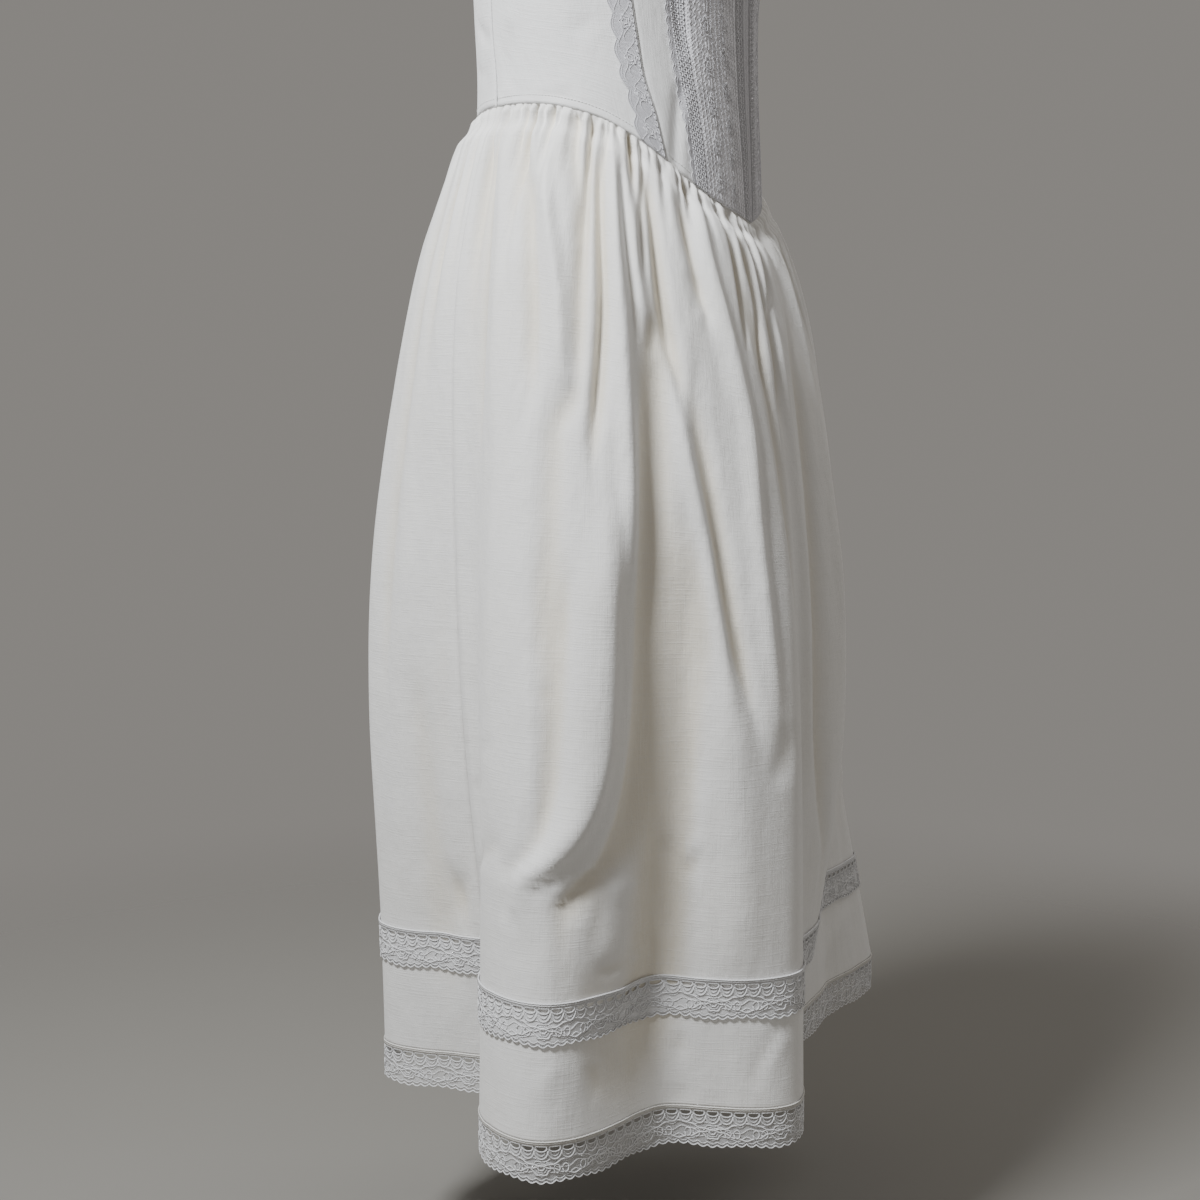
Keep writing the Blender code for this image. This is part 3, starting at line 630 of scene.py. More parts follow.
def panelShell(name, grid, rows, columns, material, left=False):
    angle, z = (refined(g, rows, columns) for g in grid)
    if left:
        angle = 360 - angle
        angle, z = angle[:, ::-1], z[:, ::-1]
    flat = bodicePoint(angle, z)
    fromLeft, fromRight = edgeDistance(flat)
    near = np.minimum(fromLeft, fromRight)
    dip = -bodice["seamDip"] * np.exp(-((near / bodice["seamDipWidth"]) ** 2))
    waist = z - (seamHeight(angle) - bodice["fullLength"])
    dip += -0.0007 * np.exp(-(((waist - 0.0075) / 0.0012) ** 2))  # the topstitched line over the waist seam
    outer = pullIn(bodiceSurface(angle, z, dip), 0.0004)
    inner = pullIn(bodiceSurface(angle, z, dip - bodice["cloth"]), 0.0004)
    return shellMesh(name, outer, inner, panelUv(outer), material)


def finishPiece(thing, node):
    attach(thing, "root")
    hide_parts(node)
    return thing


def trimming(thing):
    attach(thing, "root")
    return thing


front, side, back = frontGrid(), sideGrid(), backGrid()
for hand in ("right", "left"):
    left = hand == "left"
    other = "left" if hand == "right" else "right"
    panel = panelShell(f"frontPanel.{hand}", front, 100, 60, bodiceCloth, left)
    finishPiece(panel, f"bodice_front_{hand}")
    panel = panelShell(f"sidePanel.{hand}", side, 72, 62, bodiceCloth, left)
    finishPiece(panel, f"bodice_side_{hand}")
panel = panelShell("backPanel", back, 90, 104, bodiceCloth)
finishPiece(panel, "bodice_back")
print("bodice panels made")


# Skirt: its plan is a closed curve at three levels, gathered at the seam

skirt = {
    "sideHeight": 0.945, "clothEdge": 0.040, "seamAngle": 121.0, "kneeFall": 0.55, "evenFall": 0.75,
    "gathers": {"front": 52, "back": 24},
    "folds": ((6, 0.186, 8, 0.203, 4, 0.190), (24, 0.199, 25, 0.240, 28, 0.258), (53, 0.194, 54, 0.222, 54, 0.211),
              (76, 0.206, 77, 0.262, 80, 0.302), (94, 0.204, 92, 0.250, 91, 0.278), (113, 0.188, 114, 0.182, 115, 0.140),
              (127, 0.200, 128, 0.206, 129, 0.172), (150, 0.209, 151, 0.245, 147, 0.238),
              (180, 0.204, 180, 0.232, 178, 0.205), (210, 0.214, 208, 0.250, 212, 0.246),
              (243, 0.192, 242, 0.200, 240, 0.165), (264, 0.204, 262, 0.246, 266, 0.290),
              (288, 0.208, 290, 0.284, 294, 0.377), (303, 0.200, 305, 0.232, 304, 0.262),
              (318, 0.194, 320, 0.222, 325, 0.190), (342, 0.198, 343, 0.225, 346, 0.182)),  # angle, radius: hip, knee, hem
    "spring": ((0.0, 0.0), (0.0166, 0.08), (0.03, 0.24), (0.07, 0.47), (0.12, 0.69), (0.17, 0.87), (0.22, 1.0)),
    "follow": ((0.0, 0.0), (0.27, 0.0), (0.39, 0.02), (0.51, 0.12), (0.62, 0.35), (0.70, 0.56), (0.77, 0.74),
               (0.845, 0.92), (0.895, 0.98), (0.928, 1.0), (0.945, 1.0)),  # height, share of the V that it follows
    "perGather": 10, "cloth": 0.0008,
    "small": (1.27, 0.0060, 0.18, (0.014, 0.060)),  # grooves a gather, depth, width as a share of the pitch, lengths
    "middling": (0.66, 0.0120, 0.14, (0.050, 0.200)),
    "large": (0.29, 0.0070, 0.20, (0.160, 0.420)),
    "puff": 0.0046,
}

# Long folds: depth (a trough below zero), half width towards greater angles, the other half width, and the turn and height
# of points along it. The first group is the right front, as shown, and the others are like it.
longFolds = (
    (-0.0077, 0.009, 0.009, ((98.2, 0.916), (92.3, 0.840), (88.9, 0.770), (87.3, 0.696))),  # soft trough left
    (0.0077, 0.010, 0.006, ((88.7, 0.888), (83.7, 0.822), (80.8, 0.770), (79.0, 0.700))),  # ridge left
    (-0.0063, 0.008, 0.008, ((79.9, 0.902), (76.8, 0.840), (76.1, 0.770), (75.6, 0.702))),  # trough beside
    (-0.0063, 0.012, 0.012, ((79.5, 0.684), (81.0, 0.650), (80.8, 0.580), (81.3, 0.512), (81.5, 0.460))),  # grey below dimple
    (0.0021, 0.004, 0.004, ((84.0, 0.476), (82.6, 0.390), (81.5, 0.296))),  # thin ridge
    (-0.0133, 0.006, 0.007, ((72.4, 0.902), (70.8, 0.830), (69.9, 0.770), (70.6, 0.702), (71.5, 0.650))),  # warm trough
    (0.0091, 0.008, 0.008, ((68.0, 0.884), (66.6, 0.804), (65.0, 0.736), (63.8, 0.650), (62.9, 0.562))),  # bright ridge
    (0.0133, 0.020, 0.013, ((67.3, 0.580), (68.3, 0.512), (68.7, 0.444), (69.2, 0.390), (71.3, 0.340), (75.4, 0.300), (79.9, 0.278), (84.2, 0.264))),  # S ridge
    (-0.0077, 0.012, 0.012, ((77.2, 0.530), (78.1, 0.444), (78.6, 0.358), (81.0, 0.300), (86.6, 0.272))),  # S left trough
    (-0.0119, 0.011, 0.018, ((56.4, 0.740), (57.6, 0.658), (58.1, 0.562), (58.8, 0.474), (59.8, 0.394), (62.4, 0.332), (67.1, 0.284), (71.5, 0.264), (75.8, 0.246))),  # S right trough
    (-0.0119, 0.026, 0.024, ((49.0, 0.544), (50.2, 0.454), (52.0, 0.364), (54.2, 0.272), (56.0, 0.178), (59.0, 0.090))),  # dark broad trough
    (-0.0063, 0.004, 0.004, ((65.9, 0.904), (64.5, 0.836), (62.6, 0.784), (61.4, 0.752))),  # narrow
    (0.0063, 0.006, 0.005, ((61.9, 0.866), (61.2, 0.814), (59.8, 0.778), (58.6, 0.754))),  # small ridge
    (-0.0105, 0.005, 0.006, ((57.6, 0.910), (55.9, 0.854), (54.9, 0.804), (52.7, 0.744), (50.0, 0.700))),  # grey groove
    (-0.0084, 0.006, 0.005, ((47.0, 0.892), (45.2, 0.842), (41.9, 0.784), (40.3, 0.758))),  # groove eight
    (0.0077, 0.010, 0.006, ((37.7, 0.860), (38.0, 0.814), (35.6, 0.762), (32.8, 0.708), (30.9, 0.646), (31.2, 0.576), (30.6, 0.504), (29.3, 0.424))),  # edge ridge
    (0.0070, 0.007, 0.006, ((51.2, 0.684), (48.2, 0.622), (44.7, 0.560), (41.9, 0.472), (40.3, 0.426))),  # thin ridge right
    (-0.0091, 0.008, 0.008, ((46.0, 0.674), (42.4, 0.586), (39.5, 0.506), (37.2, 0.448), (34.6, 0.396))),  # right trough
    (0.0084, 0.026, 0.022, ((39.0, 0.418), (38.8, 0.326), (38.3, 0.234), (38.3, 0.170))),  # right broad ridge
    (-0.0063, 0.004, 0.004, ((23.0, 0.858), (25.6, 0.814), (27.2, 0.770), (28.0, 0.730))),  # under V one
    (-0.0056, 0.004, 0.004, ((14.0, 0.842), (17.6, 0.804), (20.0, 0.752), (21.5, 0.708))),  # under V two
    (-0.0077, 0.005, 0.005, ((4.0, 0.838), (9.0, 0.780), (12.6, 0.734), (15.4, 0.680))),  # under V three
    (-0.0049, 0.014, 0.014, ((91.4, 0.288), (120.6, 0.220), (125.7, 0.184))),  # back left soft
    (0.0030, 0.016, 0.016, ((133.1, 0.566), (135.4, 0.450), (137.7, 0.332), (139.2, 0.210))),  # back left ridge
    (-0.0030, 0.014, 0.014, ((119.1, 0.550), (121.6, 0.454), (124.0, 0.338))),  # back left trough
    (-0.0025, 0.007, 0.009, ((68.3, 0.254), (69.4, 0.232), (69.9, 0.210))),  # facet trough
    (-0.0050, 0.026, 0.022, ((70.0, 0.180), (68.0, 0.120), (66.5, 0.052))),  # the shade below the band
    (-0.0060, 0.010, 0.007, ((24.0, 0.790), (19.0, 0.600), (15.5, 0.440), (14.5, 0.300))),  # the front, left of the middle
    (0.0045, 0.012, 0.009, ((12.0, 0.800), (8.0, 0.640), (5.0, 0.460), (4.0, 0.300))),
    (-0.0055, 0.006, 0.010, ((-1.4, 0.746), (0.5, 0.708), (0.5, 0.542), (1.1, 0.406), (-3.0, 0.304), (-9.0, 0.236))),
    (0.0040, 0.010, 0.012, ((-8.0, 0.820), (-12.0, 0.640), (-13.0, 0.460))),
    (-0.0055, 0.008, 0.009, ((-16.0, 0.860), (-20.0, 0.700), (-22.5, 0.520), (-22.0, 0.380))),
    (0.0050, 0.014, 0.012, ((-27.0, 0.840), (-31.0, 0.640), (-33.0, 0.420), (-36.0, 0.240))),
    (-0.0065, 0.010, 0.012, ((-38.0, 0.860), (-42.0, 0.660), (-44.0, 0.460), (-46.0, 0.300))),
    (0.0060, 0.016, 0.014, ((-50.0, 0.820), (-52.0, 0.600), (-56.0, 0.400), (-64.0, 0.270), (-72.0, 0.220))),
    (-0.0060, 0.012, 0.010, ((-58.0, 0.880), (-61.0, 0.700), (-64.0, 0.500), (-69.0, 0.360))),
    (0.0045, 0.010, 0.012, ((-68.0, 0.880), (-72.0, 0.700), (-74.0, 0.540))),
    (-0.0055, 0.008, 0.009, ((-78.0, 0.900), (-81.0, 0.740), (-82.0, 0.560))),
    (0.0050, 0.014, 0.014, ((-88.0, 0.880), (-90.0, 0.660), (-88.0, 0.420), (-84.0, 0.240))),
    (-0.0060, 0.010, 0.010, ((-98.0, 0.900), (-101.0, 0.720), (-103.0, 0.540), (-102.0, 0.380))),
    (0.0045, 0.012, 0.010, ((-108.0, 0.900), (-111.0, 0.680), (-113.0, 0.460))),
    (-0.0050, 0.008, 0.008, ((112.0, 0.905), (108.0, 0.780), (107.0, 0.640))),  # the right side, behind the great lobe
    (0.0035, 0.008, 0.008, ((105.0, 0.905), (101.0, 0.800), (99.0, 0.680))),
    (-0.0045, 0.007, 0.008, ((124.0, 0.905), (121.0, 0.800), (119.0, 0.680))),
    (-0.0055, 0.010, 0.010, ((136.0, 0.900), (138.0, 0.740), (141.0, 0.560), (142.0, 0.420))),  # the back
    (0.0045, 0.012, 0.012, ((144.0, 0.900), (148.0, 0.700), (150.0, 0.480), (148.0, 0.260))),
    (-0.0060, 0.009, 0.011, ((154.0, 0.905), (158.0, 0.720), (161.0, 0.520), (160.0, 0.340))),
    (0.0050, 0.012, 0.014, ((164.0, 0.900), (169.0, 0.680), (172.0, 0.440))),
    (-0.0055, 0.010, 0.010, ((176.0, 0.905), (178.0, 0.760), (181.0, 0.580))),
    (0.0050, 0.015, 0.012, ((186.0, 0.900), (190.0, 0.660), (191.0, 0.400), (196.0, 0.200))),
    (-0.0060, 0.011, 0.010, ((199.0, 0.905), (199.0, 0.720), (197.0, 0.540), (200.0, 0.360))),
    (0.0045, 0.010, 0.014, ((208.0, 0.900), (211.0, 0.700), (213.0, 0.480))),
    (-0.0065, 0.012, 0.010, ((218.0, 0.905), (222.0, 0.740), (226.0, 0.540), (228.0, 0.300))),
    (0.0040, 0.010, 0.010, ((230.0, 0.900), (233.0, 0.740), (234.0, 0.580))),
    (-0.0045, 0.020, 0.018, ((188.0, 0.380), (184.0, 0.250), (182.0, 0.110))),
    (0.0040, 0.016, 0.014, ((206.0, 0.340), (209.0, 0.240), (210.0, 0.130))),
    (-0.0045, 0.016, 0.014, ((133.0, 0.420), (131.0, 0.280), (131.0, 0.120))),
)

# Short creases: turn and height of the start, then of the end, bow, half width, depth
shortCreases = (
    (77.7, 0.700, 79.6, 0.660, 0.003, 0.010, -0.0036),  # dimple
    (58.1, 0.760, 56.6, 0.720, 0.003, 0.008, -0.0030),  # dimple two
    (78.2, 0.856, 77.0, 0.820, 0.003, 0.008, -0.0018),  # dimple high
    (45.8, 0.796, 43.4, 0.756, 0.003, 0.009, -0.0020),  # dimple right
    (55.7, 0.294, 51.7, 0.262, 0.002, 0.006, -0.0030),  # V left
    (48.0, 0.292, 49.7, 0.266, 0.002, 0.005, 0.0030),  # V ridge
    (47.0, 0.284, 50.2, 0.256, 0.002, 0.005, -0.0030),  # V right
    (67.1, 0.250, 60.5, 0.254, 0.002, 0.006, 0.0022),  # facet ridge
    (71.0, 0.278, 73.8, 0.232, 0.002, 0.012, -0.0035),  # dark patch
    (69.9, 0.180, 61.9, 0.188, 0.002, 0.005, -0.0026),  # near band
    (62.6, 0.180, 56.4, 0.188, 0.002, 0.005, 0.0022),  # near band two
    (26.4, 0.392, 30.2, 0.338, 0.004, 0.011, -0.0030),  # notch
    (97.0, 0.368, 91.4, 0.382, 0.002, 0.006, -0.0018),  # left wrinkle
    (121.3, 0.298, 93.5, 0.350, 0.002, 0.007, -0.0020),  # left wrinkle two
    (86.2, 0.226, 83.5, 0.232, 0.002, 0.005, -0.0016),  # left band
    (86.6, 0.274, 88.2, 0.224, 0.002, 0.005, -0.0022),  # lobe crease
    (52.5, 0.090, 48.2, 0.102, 0.002, 0.006, -0.0022),  # below band a
    (36.4, 0.056, 29.9, 0.118, 0.002, 0.007, -0.0026),  # below band b
    (34.1, 0.066, 28.3, 0.110, 0.002, 0.006, 0.0020),  # below band c
    (70.8, 0.104, 69.2, 0.068, 0.002, 0.005, -0.0020),  # below band d
    (79.0, 0.076, 75.8, 0.112, 0.002, 0.006, 0.0018),  # below band e
    (54.2, 0.044, 46.0, 0.054, 0.002, 0.005, -0.0016),  # below band f
    (81.5, 0.420, 78.8, 0.434, 0.002, 0.005, -0.0020),  # above band g
    (128.0, 0.240, 123.0, 0.160, 0.002, 0.007, -0.0025),  # hidden sides
    (172.0, 0.300, 160.0, 0.230, 0.004, 0.008, -0.0030),
    (150.0, 0.200, 156.0, 0.174, 0.002, 0.006, -0.0022),
    (196.0, 0.110, 203.0, 0.070, 0.002, 0.006, -0.0020),
    (181.0, 0.700, 184.0, 0.676, 0.002, 0.007, -0.0035),
    (214.0, 0.760, 217.0, 0.738, 0.002, 0.006, -0.0035),
    (239.0, 0.300, 231.0, 0.262, 0.002, 0.007, -0.0028),
    (262.0, 0.210, 255.0, 0.160, 0.002, 0.007, -0.0026),
    (280.0, 0.260, 290.0, 0.220, -0.004, 0.010, -0.0040),
    (274.0, 0.120, 281.0, 0.066, 0.003, 0.007, -0.0026),
    (300.0, 0.112, 306.0, 0.060, 0.003, 0.007, 0.0022),
    (312.0, 0.250, 306.0, 0.204, 0.002, 0.006, -0.0026),
    (288.0, 0.730, 291.0, 0.704, 0.002, 0.007, -0.0040),
    (318.0, 0.780, 315.0, 0.756, 0.002, 0.006, -0.0036),
    (336.0, 0.240, 330.0, 0.190, 0.002, 0.008, -0.0028),
    (345.0, 0.104, 351.0, 0.062, 0.002, 0.006, -0.0022),
    (8.0, 0.220, 14.0, 0.170, 0.002, 0.007, -0.0024),
)


def foldDepth(turn, height, metres, table):
    # depth x exp(-(sideways offset from the fold's curve / half width)^2), fading in and out at its two ends
    total = np.zeros(np.shape(turn))
    for depth, greater, lesser, places in table:
        places = sorted(places, key=lambda place: place[1])
        low, high = places[0][1], places[-1][1]
        offset = (turn - smoothCurve(height, col(places, 1), col(places, 0)) + 180) % 360 - 180
        offset = offset * metres / np.where(offset > 0, greater, lesser)
        end = 0.012 + 0.16 * (high - low)
        fade = smoothStep(height, low - end, low + end) * smoothStep(-height, -high - end, -high + end)
        total += depth * np.exp(-(offset**2)) * fade
    return total


def skirtPlan(angle, fall):
    # seen from above: the seam's own direction from the middle, and a radius that springs out to the folds' radii,
    # averaged over five falls, so that the profile has no kink
    seam = bodicePoint(angle, seamHeight(angle) - bodice["fullLength"])
    turn = np.arctan2(-seam[..., 0], -seam[..., 1])
    waist = np.hypot(seam[..., 0], seam[..., 1])
    rounds = []
    for level in range(3):
        knots, radii = col(skirt["folds"], 2 * level), col(skirt["folds"], 2 * level + 1)
        knots = np.concatenate([knots[-2:] - 360, knots, knots[:2] + 360])
        radii = np.concatenate([radii[-2:], radii, radii[:2]])
        rounds.append(smoothCurve(np.degrees(turn) % 360, knots, radii))
    hip, knee, hem = rounds
    falls = [row[0] for row in skirt["spring"]] + [skirt["kneeFall"], 1.0]
    levels = [waist + (hip - waist) * row[1] for row in skirt["spring"]] + [knee, hem]
    levels = np.array(levels).reshape(len(levels), -1)
    reach = 0.11 * smoothStep(fall, 0.02, 0.30) * (1 - smoothStep(fall, 0.70, 0.95))
    radius = 0
    for shift, weight in ((-1, 0.125), (-0.5, 0.25), (0, 0.25), (0.5, 0.25), (1, 0.125)):
        radius = radius + weight * smoothCurve((fall + shift * reach).ravel(), falls, levels).reshape(fall.shape)
    return np.stack([-radius * np.sin(turn), -radius * np.cos(turn)], -1), np.degrees(turn) % 360, radius


def planNormal(angle, fall):
    way = unit(skirtPlan(angle + 0.4, fall)[0] - skirtPlan(angle - 0.4, fall)[0])
    return np.stack([-way[..., 1], way[..., 0]], -1)


def evenAngles(start, end, count):
    turns = np.linspace(start, end, 1441)
    lengths = np.linalg.norm(np.diff(skirtPlan(turns, np.ones(1441))[0], axis=0), axis=1)
    total = np.concatenate([[0], np.cumsum(lengths)])
    return np.interp(np.linspace(0, total[-1], count), total, turns), total[-1]


def grooves(share, below, gathers, seed, kind, start):
    # depth x exp(-((share - middle) / width)^2) for each groove, with its own length, depth and place
    each, depth, width, lengths = skirt[kind]
    count = round(gathers * each)
    pick = np.random.default_rng(seed)
    long = lengths[0] + (lengths[1] - lengths[0]) * pick.random(count) ** 1.6
    deep = depth * (0.45 + 0.9 * pick.random(count))
    shift = 0.26 * (pick.random(count) * 2 - 1)
    lean = 0.35 * (pick.random(count) * 2 - 1)
    thin = 0.75 + 0.6 * pick.random(count)
    total = np.zeros(np.broadcast_shapes(share.shape, below.shape))
    k = np.floor(share * count).astype(int)
    for step in (-1, 0, 1):
        n = k + step
        inside = (n >= 0) & (n < count)
        n = np.clip(n, 0, count - 1)
        down = np.clip(below / long[n], 0, 1.5)
        away = share * count - (n + 0.5 + shift[n] + lean[n] * down)
        wide = width * thin[n] * (1 + 1.1 * down)
        total -= inside * deep[n] * np.exp(-((away / wide) ** 2)) * np.exp(-(down**2) * 1.4)
    return total * smoothStep(below, start[0], start[1])


panels = {}
for name, start, end in (("front", -skirt["seamAngle"], skirt["seamAngle"]),
                         ("back", skirt["seamAngle"], 360 - skirt["seamAngle"])):
    even, length = evenAngles(start, end, 2001)
    panels[name] = {"start": start, "end": end, "even": even, "length": length, "gathers": skirt["gathers"][name]}


def skirtPoint(name, share, level, lift):
    # the skirt's surface at a share of the panel's width and a level above the hem, moved out by the lift
    panel = panels[name]
    top = panel["start"] + (panel["end"] - panel["start"]) * share
    hem = np.interp(share, np.linspace(0, 1, 2001), panel["even"])
    dip = seamHeight(top) - skirt["sideHeight"]
    height = level + smoothCurve(level, col(skirt["follow"], 0), col(skirt["follow"], 1)) * dip
    seam = skirt["sideHeight"] + dip
    fall = np.clip((seam - height) / (seam - skirt["clothEdge"]), 0, 1)
    blend = smoothStep(fall / skirt["evenFall"], 0, 1)
    angle = top * (1 - blend) + hem * blend
    plan, turn, radius = skirtPlan(angle, fall)
    normal = planNormal(angle, fall)
    below = seam - height
    seed = 5 if name == "front" else 11
    count = panel["gathers"]
    shown = smoothStep(turn, 8, 24) * (1 - smoothStep(turn, 92, 108))  # where the long folds are listed one by one
    depth = grooves(share, below, count, seed, "small", (-0.001, 0.005))
    depth += grooves(share, below, count, seed + 1, "middling", (-0.001, 0.009)) * (1 - 0.15 * shown)
    depth += grooves(share, below, count, seed + 2, "large", (0.01, 0.07)) * (0.55 - 0.55 * shown)
    depth += skirt["puff"] * np.exp(-((np.maximum(below, 0) / 0.07) ** 1.5)) * smoothStep(below, 0.0, 0.007)
    metres = np.radians(1) * radius
    fade = smoothStep(below, 0.004, 0.05)
    depth += (foldDepth(turn, height, metres, longFolds) + creaseDepth(turn, height, 0.235, shortCreases)) * fade
    side = np.minimum(share, 1 - share) * panel["length"]
    depth = depth * smoothStep(side, 0, 0.02)
    depth -= (0.0005 if name == "front" else 0.0017) * np.exp(-((side / 0.004) ** 2))
    depth -= 0.0016 * (1 - smoothStep(below, -0.0012, 0.0012))  # tucked under the bodice's edge
    plan = plan + normal * (depth + lift)[..., None]
    # the fold's depth goes out as the groove attribute, which the skirt's material turns into painted shade
    return np.concatenate([plan, (height - bodice["fullLength"])[..., None]], -1), normal, -depth


def skirtShell(name):
    # dense rows and columns near the gathers, and half as many columns below them, joined by a row of triangles
    across = skirt["perGather"] * panels[name]["gathers"]
    drop = np.concatenate([[-0.0035, -0.0014], np.linspace(0.0004, 0.030, 15), np.linspace(0.034, 0.150, 24)])
    edge = skirt["sideHeight"] - skirt["clothEdge"]
    low = np.append(np.linspace(0.158, edge - 0.0012, 95), edge)
    parts, walls = [], []
    for rows, count in ((drop, across + 1), (low, across // 2 + 1)):
        share, level = np.broadcast_arrays(np.linspace(0, 1, count)[None], skirt["sideHeight"] - rows[:, None])
        outer, normal, groove = skirtPoint(name, share, level, 0.0)
        inner = outer.copy()
        inner[..., :2] -= normal * skirt["cloth"]
        gap = 0.0004 if name == "front" else -0.0044
        uv = np.stack([share * panels[name]["length"], level], -1)
        parts.append([grid.reshape(-1, grid.shape[-1]) for grid in (pullIn(outer, gap), pullIn(inner, gap), uv, groove[..., None])])
    first = len(parts[0][0])
    k = np.arange(across // 2)
    last = first - across - 1
    a, m, b, c, d = last + 2 * k, last + 2 * k + 1, last + 2 * k + 2, first + k, first + k + 1
    faces = [gridFaces(len(drop), across + 1), gridFaces(len(low), across // 2 + 1, first=first),
             np.concatenate([np.stack(t, -1) for t in ((a, c, m), (m, c, d), (m, d, b))])]
    outer, inner, uv, groove = (np.concatenate(pair) for pair in zip(*parts))
    return shellMesh(f"skirt.{name}", outer, inner, uv, skirtCloth, faces, groove[:, 0])


for name, cut, rests in (("front", (1.36, 0.93), "bodice_front_right"), ("back", (0.60, 0.93), "bodice_back")):
    thing = skirtShell(name)
    print("skirt", name, "triangles", sum(len(p.vertices) - 2 for p in thing.data.polygons))
    finishPiece(thing, f"skirt_{name}")
print("skirt made")


# Galloon: one lace pattern, as a band on the skirt and as the hem's edging

galloon = {
    "height": 0.0396, "pitch": 0.0126, "holeWidth": 0.0098, "holeTop": 0.0350, "holeBottom": 0.0304,
    "scallop": 0.0030, "wander": 0.0022, "scallopsPerHole": 1.4, "holesPerRose": 5, "rose": 0.0086, "thin": 0.0004,
    "cord": 0.00052, "fine": 0.00034, "heading": 0.00075,
}


def galloonEdge(along, pitch):
    # small scallops, on a larger wave that is lowest under each rose
    g = galloon
    rose = pitch * g["holesPerRose"]
    return (g["scallop"] * (1 - np.abs(np.sin(np.pi * along * g["scallopsPerHole"] / pitch)) ** 0.75)
            + g["wander"] * (0.5 + 0.5 * np.cos(2 * np.pi * along / rose)))


def galloonBase(name, place, length, repeats, material, node):
    # the lace's ground: a grid along the panel with an oval left open in each repeat
    g = galloon
    pitch = length / repeats
    bar = (pitch - g["holeWidth"]) / 2
    inRepeat = np.concatenate([[0], np.linspace(bar, pitch - bar, 7)])
    along = np.append((np.arange(repeats)[:, None] * pitch + inRepeat).ravel(), length)
    inside = np.append(np.tile(np.arange(8) > 0, repeats), False) & np.append(np.tile(np.arange(8) < 7, repeats), True)
    middle = (np.floor(np.minimum(along, length - 1e-9) / pitch) + 0.5) * pitch
    bow = np.sqrt(np.clip(1 - ((along - middle) / (g["holeWidth"] / 2)) ** 2, 0, 1))
    half = (g["holeTop"] - g["holeBottom"]) / 2
    centre = (g["holeTop"] + g["holeBottom"]) / 2
    edge = galloonEdge(along, pitch)
    rows = [np.full(len(along), g["height"]), np.full(len(along), g["height"] - 0.002),
            np.full(len(along), centre + half), centre + half * 0.5 - half * 1.5 * bow]
    rows += [edge + (centre - half - edge) * k for k in (0.8, 0.6, 0.4, 0.2, 0.0)]
    up = np.array(rows)
    solid = np.ones((len(up) - 1, len(along) - 1), bool)
    solid[2, :-1] = ~np.tile(np.arange(8) > 0, repeats)[:len(along) - 2]
    solid[2] = ~np.tile(np.array([False] + [True] * 6 + [False]), repeats)
    along = np.broadcast_to(along, up.shape)
    outer, inner = place(along, up, 0.0), place(along, up, -g["thin"])
    thing = shellMesh(name, pullIn(outer, 0.0004), pullIn(inner, 0.0004), np.stack([along, up], -1), material,
                      [gridFaces(*up.shape, solid)])
    finishPiece(thing, node)
    return thing


